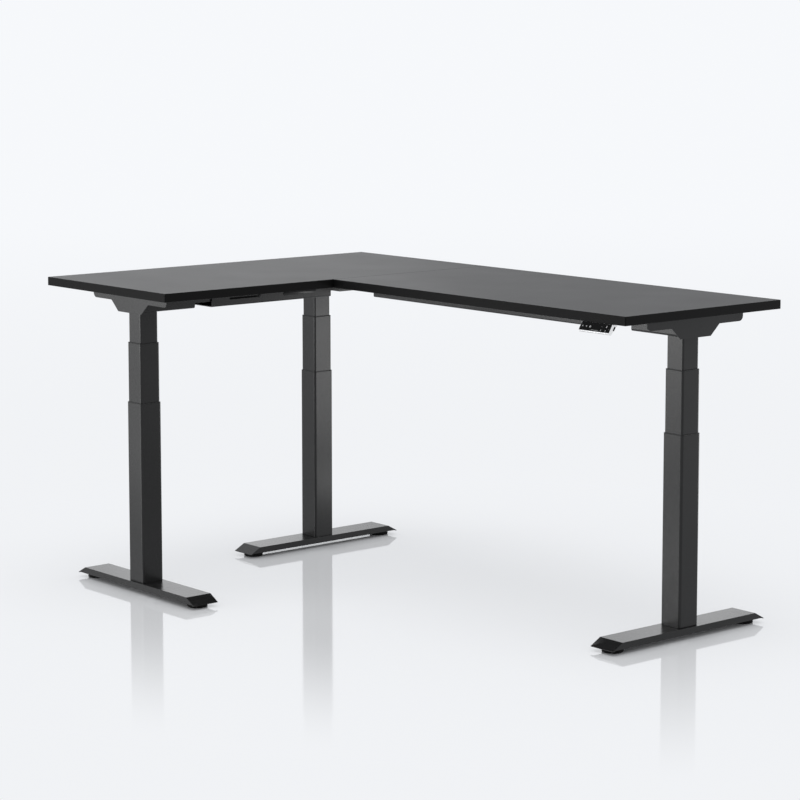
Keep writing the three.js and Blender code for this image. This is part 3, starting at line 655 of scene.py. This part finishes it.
# %% Settle and copy
def settle(obj, name, body, finish):
    """Puts the piece's place in its mesh, and says what it is made of and what carries it."""
    take(obj)
    bpy.ops.object.transform_apply(location=True, rotation=True, scale=True)
    obj.name = name
    obj.data.name = name
    obj.data.materials.clear()
    obj.data.materials.append(finish)
    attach(obj, body)
    return obj


def copy_of(template, matrix):
    copy = template.copy()
    copy.data = template.data.copy()
    bpy.context.scene.collection.objects.link(copy)
    copy.matrix_world = matrix
    return copy


def discard(obj):
    bpy.data.objects.remove(obj, do_unlink=True)


def count(word):
    return sum(word in obj.name for obj in bpy.data.objects)


print("settling tools ready")

# %% [markdown]
# The three legs are alike but face different ways. Each gets a frame of its own: x along its foot,
# y inward along its beam, and z up from the floor. A place worked out once in that frame is then
# right on all three legs.


# %% Where each leg stands
def middle(node):
    low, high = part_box(node)
    return (low + high) / 2


def span(node):
    low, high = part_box(node)
    return high - low


LEGS = ("corner", "right", "left")
QUARTER = math.pi / 2
column = {leg: middle(f"{leg}_outer_tube") for leg in LEGS}
turn = {}
for leg in LEGS:
    inward = middle(f"{leg}_motor_housing") - column[leg]
    turn[leg] = (round(math.atan2(inward.y, inward.x) / QUARTER) - 1) * QUARTER
print("columns:", {leg: tuple(round(v, 3) for v in column[leg].xy) for leg in LEGS})


def on_leg(leg, x, y, z):
    """A place in the leg's own frame: x along the foot, y inward along the beam, z above the floor."""
    stand = Matrix.Translation((column[leg].x, column[leg].y, 0)) @ Matrix.Rotation(turn[leg], 4, "Z")
    return stand @ Matrix.Translation((x, y, z))


# %% [markdown]
# ## Levelling glides
#
# A glide is a round moulded cup on a threaded stud, with a softer pad pressed into its sole. One is
# modelled from a cylinder: the sole is inset and extruded into the pad, the top is inset down to
# the stud's size and extruded up into the foot, and the rims are bevelled.

# %% Model one glide
GLIDE_RADIUS = 29 * MM
GLIDE_TOP = 11.7 * MM
PAD_STEP = 1.6 * MM
PAD_INSET = 2.2 * MM
STUD_RADIUS = 3.9 * MM
STUD_LENGTH = 16 * MM
RIM_ROUND = 0.7 * MM
GLIDE_SIDES = 56
start_disk(GLIDE_RADIUS, PAD_STEP, GLIDE_TOP, sides=GLIDE_SIDES)
pick_faces(sole_face)
bpy.ops.mesh.inset(thickness=PAD_INSET)
push(z=-PAD_STEP)
pick_faces(top_face)
bpy.ops.mesh.inset(thickness=GLIDE_RADIUS - STUD_RADIUS)
push(z=STUD_LENGTH)
within_rims = (GLIDE_RADIUS + STUD_RADIUS) / 2
round_off(
    lambda a, b: not upright_edge(a, b) and min(a.xy.length, b.xy.length) > within_rims,
    RIM_ROUND, segments=3,
)
glide = leave()
print("glide faces:", len(glide.data.polygons))

# %% Set the six glides
for leg in LEGS:
    for end in ("front", "rear"):
        node = f"{leg}_glide_{end}"
        spot = middle(node)
        piece = copy_of(glide, Matrix.Translation((spot.x, spot.y, 0)))
        settle(piece, f"{leg}_{end}_glide_cup", f"{leg}_{end}_glide", rubber)
        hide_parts(node)
discard(glide)
print("glides set:", count("glide_cup"))

# %% [markdown]
# ## Screws and bolts
#
# Three heads hold the desk together: a pan head wood screw, a socket head machine screw, and the
# low button head of a clamp screw. Each is a cylinder whose top edge is bevelled. The wood screw
# and the clamp screw have the start of their shank drawn out of the underside, by an inset and an
# extrusion. The drive is a six-sided hole, which a six-sided cylinder cuts with a Boolean modifier.
# A head's end points along +Z, away from what it is driven into.


# %% Model the heads
DRIVE_SIDES = 6


def head(radius, height, round_over, drive_radius, drive_depth, shank_radius=0, shank_length=0):
    start_disk(radius, 0, height)
    round_off(edge_at(height), round_over, segments=3)
    if shank_length:
        pick_faces(sole_face)
        bpy.ops.mesh.inset(thickness=radius - shank_radius)
        push(z=-shank_length)
    shape = leave()
    bpy.ops.mesh.primitive_cylinder_add(
        vertices=DRIVE_SIDES, radius=drive_radius, depth=2 * drive_depth, location=(0, 0, height),
    )
    cutter = bpy.context.object
    cut = shape.modifiers.new("drive", "BOOLEAN")
    cut.object = cutter
    cut.operation = "DIFFERENCE"
    cut.solver = "EXACT"
    take(shape)
    bpy.ops.object.modifier_apply(modifier=cut.name)
    discard(cutter)
    return shape


HEADS = {
    "wood": head(
        radius=4.4 * MM, height=2.4 * MM, round_over=1.2 * MM, drive_radius=1.5 * MM,
        drive_depth=1.4 * MM, shank_radius=2.0 * MM, shank_length=2.0 * MM,
    ),
    "bolt": head(
        radius=6.4 * MM, height=5.2 * MM, round_over=0.7 * MM, drive_radius=3.2 * MM,
        drive_depth=3.0 * MM,
    ),
    "clamp": head(
        radius=5.2 * MM, height=2.8 * MM, round_over=1.5 * MM, drive_radius=1.9 * MM,
        drive_depth=1.6 * MM, shank_radius=3.0 * MM, shank_length=4.6 * MM,
    ),
}
print("faces of a head:", {kind: len(shape.data.polygons) for kind, shape in HEADS.items()})


# %% Drive a screw
DOWN = Matrix.Rotation(math.pi, 4, "X")
driven = []


def drive(kind, name, matrix, body):
    """Sets a copy of a head at a place whose Z points out of the surface."""
    settle(copy_of(HEADS[kind], matrix), name, body, screw_black)
    driven.append(name)


# %% Screw the legs and their brackets
BRACKET_PITCH = 150 * MM
BRACKET_ROW = -27 * MM
BRACKET_SHEET = 2.5 * MM
COLUMN_BOLT = 22 * MM
FOOT_PAD = 8 * MM
for leg in LEGS:
    flange_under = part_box(f"{leg}_side_bracket")[1].z - BRACKET_SHEET
    for i, x in enumerate((-BRACKET_PITCH, 0, BRACKET_PITCH)):
        under = on_leg(leg, x, BRACKET_ROW, flange_under) @ DOWN
        drive("wood", f"{leg}_bracket_screw_{i + 1}", under, "top")
    pad_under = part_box(f"{leg}_foot")[1].z - FOOT_PAD
    corners = [(x, y) for x in (-COLUMN_BOLT, COLUMN_BOLT) for y in (-COLUMN_BOLT, COLUMN_BOLT)]
    for i, (x, y) in enumerate(corners):
        drive("bolt", f"{leg}_column_bolt_{i + 1}", on_leg(leg, x, y, pad_under) @ DOWN, f"{leg}_base")
print("leg screws:", len(driven))

# %% Screw down the plate, the control box and the handset
PLATE_COLUMNS = (-0.4, -0.15, 0.15, 0.4)  # as shares of the plate's size
PLATE_ROWS = (-0.32, 0.32)
plate = middle("joining_plate")
plate_size = span("joining_plate")
plate_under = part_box("joining_plate")[0].z
places = [(x, y) for x in PLATE_COLUMNS for y in PLATE_ROWS]
for i, (x, y) in enumerate(places):
    spot = (plate.x + x * plate_size.x, plate.y + y * plate_size.y, plate_under)
    drive("wood", f"joining_screw_{i + 1}", Matrix.Translation(spot) @ DOWN, "top")

EAR_WIDTH = 14 * MM
EAR_HEIGHT = 4 * MM
box_low, box_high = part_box("control_box")
for i, x in enumerate((box_low.x + EAR_WIDTH / 2, box_high.x - EAR_WIDTH / 2)):
    spot = (x, middle("control_box").y, box_high.z - EAR_HEIGHT)
    drive("wood", f"control_box_screw_{i + 1}", Matrix.Translation(spot) @ DOWN, "top")

TAB_SCREW = 0.34  # as a share of the case's width
TAB_HEIGHT = 3 * MM
TAB_INSET = 10 * MM
case_low, case_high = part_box("handset_housing")
case = middle("handset_housing")
case_width = span("handset_housing").x
for i, side in enumerate((-TAB_SCREW, TAB_SCREW)):
    spot = (case.x + side * case_width, case_high.y - TAB_INSET, case_high.z - TAB_HEIGHT)
    drive("wood", f"handset_screw_{i + 1}", Matrix.Translation(spot) @ DOWN, "top")
print("screws so far:", len(driven))

# %% Bolt the beams
CLAMP_FROM_END = 175 * MM
CLAMP_Z = 844.5 * MM  # the middle of the slots
TEE_BOLT = 53 * MM
TEE_SHEET = 3 * MM
FACING = {
    "x": {side: Matrix.Rotation(side * QUARTER, 4, "Y") for side in (-1, 1)},
    "y": {side: Matrix.Rotation(-side * QUARTER, 4, "X") for side in (-1, 1)},
}
low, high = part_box("wing_sleeve")
for side, x in ((-1, low.x), (1, high.x)):
    spot = (x, low.y + CLAMP_FROM_END, CLAMP_Z)
    clamp_name = "wing_clamp_left" if side < 0 else "wing_clamp_right"
    drive("clamp", clamp_name, Matrix.Translation(spot) @ FACING["x"][side], "top")
low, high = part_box("main_sleeve")
for end, x in (("left", low.x + CLAMP_FROM_END), ("right", high.x - CLAMP_FROM_END)):
    for side, y in ((-1, low.y), (1, high.y)):
        name = f"main_clamp_{end}_{'front' if side < 0 else 'back'}"
        drive("clamp", name, Matrix.Translation((x, y, CLAMP_Z)) @ FACING["y"][side], "top")
tee_low, tee_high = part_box("wing_tee_rail")
tee_face = tee_high.y - TEE_SHEET
tee_height = (tee_low.z + tee_high.z) / 2
for i, side in enumerate((-TEE_BOLT, TEE_BOLT)):
    spot = (middle("wing_sleeve").x + side, tee_face, tee_height)
    drive("bolt", f"tee_bolt_{i + 1}", Matrix.Translation(spot) @ FACING["y"][-1], "top")
print("screws and bolts:", len(driven))

# %% [markdown]
# ## Rail pads and slot covers
#
# A sleeve's slots let its rails be set to length. Behind each slot a black glide pad fills the play
# between rail and sleeve; it is also a dark piece put there as painted shade, so the slot shows black.
# At the corner end of the wing's sleeve the rail is fixed, so a thin strip covers the slot and its
# eye. Pad and strip are bars whose upright edges are bevelled until their ends are round.

# %% Fit the rail pads
SLOT_FROM_END = 116 * MM  # to the slot's middle
PAD_LENGTH = 116 * MM
PAD_WIDTH = 12 * MM
PAD_FIT = 0.3 * MM
PAD_EDGE = 0.4 * MM
SLEEVE_WALL = 2 * MM
RAIL_PLAY = 3 * MM
NEARLY_HALF = 0.49  # a full half would close the ends to a line


def round_bar(length, width, low, high, edge):
    """A bar along X with round ends and an eased upper edge."""
    start_block(length, width, low, high)
    round_off(upright_edge, width * NEARLY_HALF, segments=6)
    round_off(edge_at(high), edge)
    return leave()


# Each pad is a glide pad and also a dark piece behind its slot: painted shade that keeps the slot
# black.
pad = round_bar(PAD_LENGTH, PAD_WIDTH, -RAIL_PLAY + PAD_FIT, -PAD_FIT, PAD_EDGE)
ALONG_Y = Matrix.Rotation(QUARTER, 4, "Z")
low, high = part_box("wing_sleeve")
for side, x in (("left", low.x + SLEEVE_WALL), ("right", high.x - SLEEVE_WALL)):
    facing = FACING["x"][-1 if side == "left" else 1]
    place = Matrix.Translation((x, low.y + SLOT_FROM_END, CLAMP_Z)) @ facing @ ALONG_Y
    settle(copy_of(pad, place), f"wing_rail_pad_{side}", "top", rubber)
low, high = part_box("main_sleeve")
for end, x in (("left", low.x + SLOT_FROM_END), ("right", high.x - SLOT_FROM_END)):
    for side, y in (("front", low.y + SLEEVE_WALL), ("back", high.y - SLEEVE_WALL)):
        facing = FACING["y"][-1 if side == "front" else 1]
        place = Matrix.Translation((x, y, CLAMP_Z)) @ facing
        settle(copy_of(pad, place), f"main_rail_pad_{end}_{side}", "top", rubber)
discard(pad)
print("rail pads:", count("rail_pad"))

# %% Cover the unused slot
COVER_FROM_END = 120 * MM
COVER_LENGTH = 124 * MM
COVER_WIDTH = 12 * MM
COVER_THICKNESS = 0.6 * MM
COVER_EDGE = 0.25 * MM
cover = round_bar(COVER_LENGTH, COVER_WIDTH, 0, COVER_THICKNESS, COVER_EDGE)
low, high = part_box("wing_sleeve")
for side, x in (("left", low.x), ("right", high.x)):
    facing = FACING["x"][-1 if side == "left" else 1] @ ALONG_Y
    place = Matrix.Translation((x, high.y - COVER_FROM_END, CLAMP_Z)) @ facing
    settle(copy_of(cover, place), f"wing_slot_cover_{side}", "top", black_coat)
discard(cover)
print("slot covers:", count("slot_cover"))

# %% [markdown]
# ## Cable grommets
#
# Each motor's lead leaves its housing through a rubber grommet in the end wall. It is modelled from
# a bar: two cuts mark where the wall goes, the band between them is drawn in as a groove, and the
# bore is made by insetting both ends and bridging the two holes.

# %% Model one grommet
GROMMET_RADIUS = 11 * MM
GROMMET_NECK = 8.7 * MM
GROMMET_BORE = 6 * MM
GROMMET_LIP = 1.6 * MM
GROMMET_ROUND = 0.5 * MM
HOUSING_WALL = 2 * MM


def bridge_hole():
    """Joins the two holes that face each other along Z, as the inside of a bore."""
    bpy.ops.mesh.delete(type="FACE")
    bpy.ops.mesh.select_mode(type="EDGE")
    mesh = bmesh.from_edit_mesh(bpy.context.object.data)
    for line in mesh.edges:
        line.select_set(line.is_boundary)
    bpy.ops.mesh.bridge_edge_loops()
    bpy.ops.mesh.select_all(action="SELECT")
    bpy.ops.mesh.normals_make_consistent(inside=False)


start_disk(GROMMET_RADIUS, -HOUSING_WALL - GROMMET_LIP, GROMMET_LIP)
for z in (0, -HOUSING_WALL):
    bpy.ops.mesh.select_all(action="SELECT")
    bpy.ops.mesh.bisect(plane_co=(0, 0, z), plane_no=(0, 0, 1))
pick_faces(lambda centre, normal: not flat_face(centre, normal) and -HOUSING_WALL < centre.z < 0)
neck = {"value": GROMMET_NECK - GROMMET_RADIUS}
bpy.ops.mesh.extrude_region_shrink_fatten(TRANSFORM_OT_shrink_fatten=neck)
inner, outer = -HOUSING_WALL - GROMMET_LIP, GROMMET_LIP
pick_faces(lambda centre, normal: not inner + HAIR < centre.z < outer - HAIR)
bpy.ops.mesh.inset(thickness=GROMMET_RADIUS - GROMMET_BORE)
bridge_hole()
within_lip = (GROMMET_RADIUS + GROMMET_NECK) / 2
round_off(
    lambda a, b: not upright_edge(a, b) and min(a.xy.length, b.xy.length) > within_lip,
    GROMMET_ROUND,
)
grommet = leave()
print("grommet faces:", len(grommet.data.polygons))

# %% Fit the three grommets
GROMMET_X = 22 * MM
GROMMET_Z = 851.5 * MM
for leg in LEGS:
    reach = span(f"{leg}_motor_housing")
    centre = middle(f"{leg}_motor_housing") - column[leg]
    half = max(reach.x, reach.y) / 2
    end = Vector((centre.x, centre.y)).length + half
    place = on_leg(leg, GROMMET_X, end, GROMMET_Z) @ FACING["y"][1]
    settle(copy_of(grommet, place), f"{leg}_cable_grommet", "top", rubber)
discard(grommet)
print("grommets:", len(LEGS))

# %% [markdown]
# ## Sockets
#
# The control box's back has four sockets for the motors and the handset, and the mains inlet. Each
# socket holds a moulded tongue with a row of brass contacts, and the inlet holds three blades. The
# contacts of one socket are one bar, bevelled and then repeated by an Array modifier.

# %% Model a socket's tongue
SOCKET_WIDTH = 14 * MM
SOCKET_HEIGHT = 9 * MM
SOCKET_DEPTH = 12 * MM
SLACK = 0.4 * MM
TONGUE_BASE = 2 * MM
TONGUE_INSET = 3 * MM
TONGUE_RISE = 6 * MM
TONGUE_ROUND = 0.4 * MM
start_block(SOCKET_WIDTH - SLACK, SOCKET_HEIGHT - SLACK, SLACK / 2, TONGUE_BASE)
pick_faces(top_face)
bpy.ops.mesh.inset(thickness=TONGUE_INSET)
push(z=TONGUE_RISE)
round_off(edge_at(TONGUE_BASE + TONGUE_RISE), TONGUE_ROUND)
tongue = leave()
print("tongue faces:", len(tongue.data.polygons))

# %% Model a row of contacts
CONTACTS = 6
CONTACT_PITCH = 1.4 * MM
CONTACT_WIDTH = 0.7 * MM
CONTACT_THICKNESS = 0.5 * MM
CONTACT_RISE = 5 * MM
CONTACT_ROUND = 0.15 * MM
start_block(CONTACT_WIDTH, CONTACT_THICKNESS, TONGUE_BASE, TONGUE_BASE + CONTACT_RISE)
round_off(edge_at(TONGUE_BASE + CONTACT_RISE), CONTACT_ROUND)
contacts = leave()
row = contacts.modifiers.new("row", "ARRAY")
row.count = CONTACTS
row.use_relative_offset = False
row.use_constant_offset = True
row.constant_offset_displace = (CONTACT_PITCH, 0, 0)
take(contacts)
bpy.ops.object.modifier_apply(modifier=row.name)
contacts.data.transform(Matrix.Translation((-CONTACT_PITCH * (CONTACTS - 1) / 2, 0, 0)))
print("contacts in a row:", CONTACTS)

# %% Fill the sockets
SOCKETS = 4
FIRST_SOCKET = 24 * MM + EAR_WIDTH
SOCKET_PITCH = 26 * MM
CONTACT_GAP = 0.3 * MM
contact_row = (SOCKET_HEIGHT - SLACK) / 2 - TONGUE_INSET + CONTACT_GAP
socket_z = (box_low.z + box_high.z) / 2
for i in range(SOCKETS):
    x = box_low.x + FIRST_SOCKET + i * SOCKET_PITCH
    place = Matrix.Translation((x, box_high.y - SOCKET_DEPTH, socket_z)) @ FACING["y"][1]
    settle(copy_of(tongue, place), f"socket_{i + 1}_tongue", "top", matt_plastic)
    above = place @ Matrix.Translation((0, contact_row, 0))
    settle(copy_of(contacts, above), f"socket_{i + 1}_contacts", "top", brass)
discard(tongue)
discard(contacts)
print("sockets:", SOCKETS)

# %% Fill the inlet
INLET_FROM_END = 32 * MM + EAR_WIDTH
INLET_DEPTH = 16 * MM
BLADE_WIDTH = 1.8 * MM
BLADE_HEIGHT = 4.5 * MM
BLADE_LENGTH = 12 * MM
BLADE_ROUND = 0.6 * MM
BLADES = {"live": (-6.5, -1.5), "neutral": (6.5, -1.5), "earth": (0, 2.5)}
start_block(BLADE_WIDTH, BLADE_HEIGHT, SLACK / 2, BLADE_LENGTH)
round_off(edge_at(BLADE_LENGTH), BLADE_ROUND)
blade = leave()
inlet_place = (box_high.x - INLET_FROM_END, box_high.y - INLET_DEPTH, socket_z)
inlet = Matrix.Translation(inlet_place) @ FACING["y"][1]
for name, (x, y) in BLADES.items():
    pin = copy_of(blade, inlet @ Matrix.Translation((x * MM, y * MM, 0)))
    settle(pin, f"inlet_{name}_blade", "top", brass)
discard(blade)
print("inlet blades:", len(BLADES))

# %% [markdown]
# ## The handset's marks
#
# The keys are told apart by print: arrows for up and down, numbers for the stored heights, and a
# ring for the key that stores them. Text becomes a mesh before it is placed, and each mark rides on
# its own key, so that it moves with the key's stroke. The panel carries a row of fine bars, and two
# small rings, one for the memory lamp and one that marks the port.

# %% Find the handset's face
TILT = math.radians(32)
LIFT = 0.05 * MM
INK = 0.04 * MM
top_edge = (case.x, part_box("main_board")[0].y, case_high.z)
face = Matrix.Translation(top_edge) @ Matrix.Rotation(-TILT, 4, "X")


def on_face(x, up):
    """A place on the handset's face, measured from the middle of its top edge. Z points out."""
    return face @ Matrix.Translation((x * MM, -LIFT, up * MM)) @ Matrix.Rotation(QUARTER, 4, "X")


def on_key(key):
    """The middle of a key's face, as a place on the handset."""
    flat = face.inverted() @ middle(key)
    return on_face(flat.x / MM, flat.z / MM)


print("handset tilt:", round(math.degrees(TILT)), "degrees")


# %% Shape the marks
ARROW_ROUND = 0.15
RING_WIDTH = 0.4
BAR_ROUND = 0.45


def print_text(words, size, bold):
    """Flat letters, sizes in millimetres. Their outline grows by bold."""
    bpy.ops.object.select_all(action="DESELECT")
    bpy.ops.object.text_add(location=(0, 0, 0))
    mark = bpy.context.object
    mark.data.body = words
    mark.data.size = size * MM
    mark.data.align_x = "CENTER"
    mark.data.align_y = "CENTER"
    mark.data.extrude = INK
    mark.data.offset = bold * MM
    take(mark)
    bpy.ops.object.convert(target="MESH")
    return bpy.context.object


def print_arrow(size, down):
    """A solid triangle with rounded corners."""
    start_disk(size * MM, -INK, INK, sides=3)
    round_off(upright_edge, size * ARROW_ROUND * MM, segments=3)
    mark = leave()
    mark.data.transform(Matrix.Rotation(math.pi if down else 0, 4, "Z"))
    return mark


def print_ring(size):
    """A disk whose middle is inset and taken out."""
    start_disk(size * MM, -INK, INK)
    pick_faces(flat_face)
    bpy.ops.mesh.inset(thickness=size * RING_WIDTH * MM)
    bridge_hole()
    return leave()


def print_bar(width, height):
    """A thin bar with round ends."""
    start_block(width * MM, height * MM, -INK, INK)
    round_off(upright_edge, height * BAR_ROUND * MM, segments=3)
    return leave()


print("ink:", 2 * INK / MM, "mm thick")

# %% Print the marks
KEY_MARKS = {
    "key_up": (print_arrow(size=3.0, down=False), dim_print),
    "key_down": (print_arrow(size=3.0, down=True), dim_print),
    "key_memory": (print_ring(size=2.6), white_print),
    "key_preset_1": (print_text("1", size=7.0, bold=0.45), white_print),
    "key_preset_2": (print_text("2", size=6.4, bold=0.15), dim_print),
    "key_preset_3": (print_text("3", size=6.4, bold=0.15), dim_print),
}
for key, (mark, ink) in KEY_MARKS.items():
    mark.matrix_world = on_key(key)
    settle(mark, key + "_mark", key + "_cap", ink)
print("key marks:", len(KEY_MARKS))

# %% Print the panel
BARS = 6
BAR_WIDTH, BAR_HEIGHT = 3.2, 1.3
BAR_PITCH = 4.3
BAR_ROW = -21.5
BARS_MIDDLE = 0.5
RING_SIZE = 0.9
RINGS = {"memory_lamp": (22.7, -9.3), "port_mark": (50.9, -14.3)}
for i in range(BARS):
    bar = print_bar(BAR_WIDTH, BAR_HEIGHT)
    bar.matrix_world = on_face((i - (BARS - 1) / 2) * BAR_PITCH + BARS_MIDDLE, BAR_ROW)
    settle(bar, f"panel_bar_{i + 1}", "top", dim_print)
for name, (x, up) in RINGS.items():
    ring = print_ring(RING_SIZE)
    ring.matrix_world = on_face(x, up)
    settle(ring, name, "top", dim_print)
print("panel bars:", BARS, "panel rings:", len(RINGS))

# %% [markdown]
# ## The panel's upper edge and the port
#
# The gloss panel runs right up under the board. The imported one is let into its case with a
# millimetre of case above it, so a thin gloss strip with round ends covers that. The case's right
# end has a small oval port. A Boolean could hollow its lining, but a block shaped in edit mode
# keeps clean faces: its upright edges are bevelled into an oval, its underside is drawn out as the
# outer wall, and its top is pushed back in as the hollow. A thin tongue stands inside.

# %% Run the panel up to the board
BROW_WIDTH = 111.6
BROW_HEIGHT = 0.9
BROW_GAP = 0.05
brow = print_bar(BROW_WIDTH, BROW_HEIGHT)
brow.matrix_world = on_face(0, -BROW_HEIGHT / 2 - BROW_GAP)
settle(brow, "panel_brow", "top", gloss_black)
print("brow width:", BROW_WIDTH, "mm")

# %% Line the charging port
PORT_BACK = 10.3 * MM
PORT_UP = -7 * MM
PORT_DEPTH = 7 * MM
LIP_WIDTH = 5 * MM
LIP_LENGTH = 12.2 * MM
LIP_THICKNESS = 0.3 * MM
LIP_MARGIN = 0.95 * MM
LIP_ROUND = 0.48
LINING = 0.45 * MM
LINING_FIT = 0.06 * MM
start_block(LIP_WIDTH, LIP_LENGTH, PORT_DEPTH, PORT_DEPTH + LIP_THICKNESS)
round_off(upright_edge, LIP_WIDTH * LIP_ROUND, segments=6)
pick_faces(sole_face)
bpy.ops.mesh.inset(thickness=LIP_MARGIN)
push(z=LINING_FIT - PORT_DEPTH)
pick_faces(top_face)
bpy.ops.mesh.inset(thickness=LIP_MARGIN + LINING)
push(z=LINING - PORT_DEPTH)
lining = leave()
print("lining faces:", len(lining.data.polygons))

# %% Fit the port
PORT_TONGUE_WIDTH = 0.7 * MM
PORT_TONGUE_LENGTH = 7.5 * MM
PORT_TONGUE_END = 5 * MM
PORT_TONGUE_ROUND = 0.25 * MM
start_block(PORT_TONGUE_WIDTH, PORT_TONGUE_LENGTH, LINING, PORT_TONGUE_END)
round_off(edge_at(PORT_TONGUE_END), PORT_TONGUE_ROUND)
tongue = leave()
port_turn = Matrix(((0, 0, 1, 0), (1, 0, 0, 0), (0, 1, 0, 0), (0, 0, 0, 1)))
port = face @ Matrix.Translation((case_width / 2 - PORT_DEPTH, PORT_BACK, PORT_UP)) @ port_turn
for name, piece in (("port_lining", lining), ("port_tongue", tongue)):
    piece.matrix_world = port
    settle(piece, name, "top", rubber)
print("port pieces:", count("port_lining") + count("port_tongue"))

# %% Clear away the head templates
for template in HEADS.values():
    discard(template)
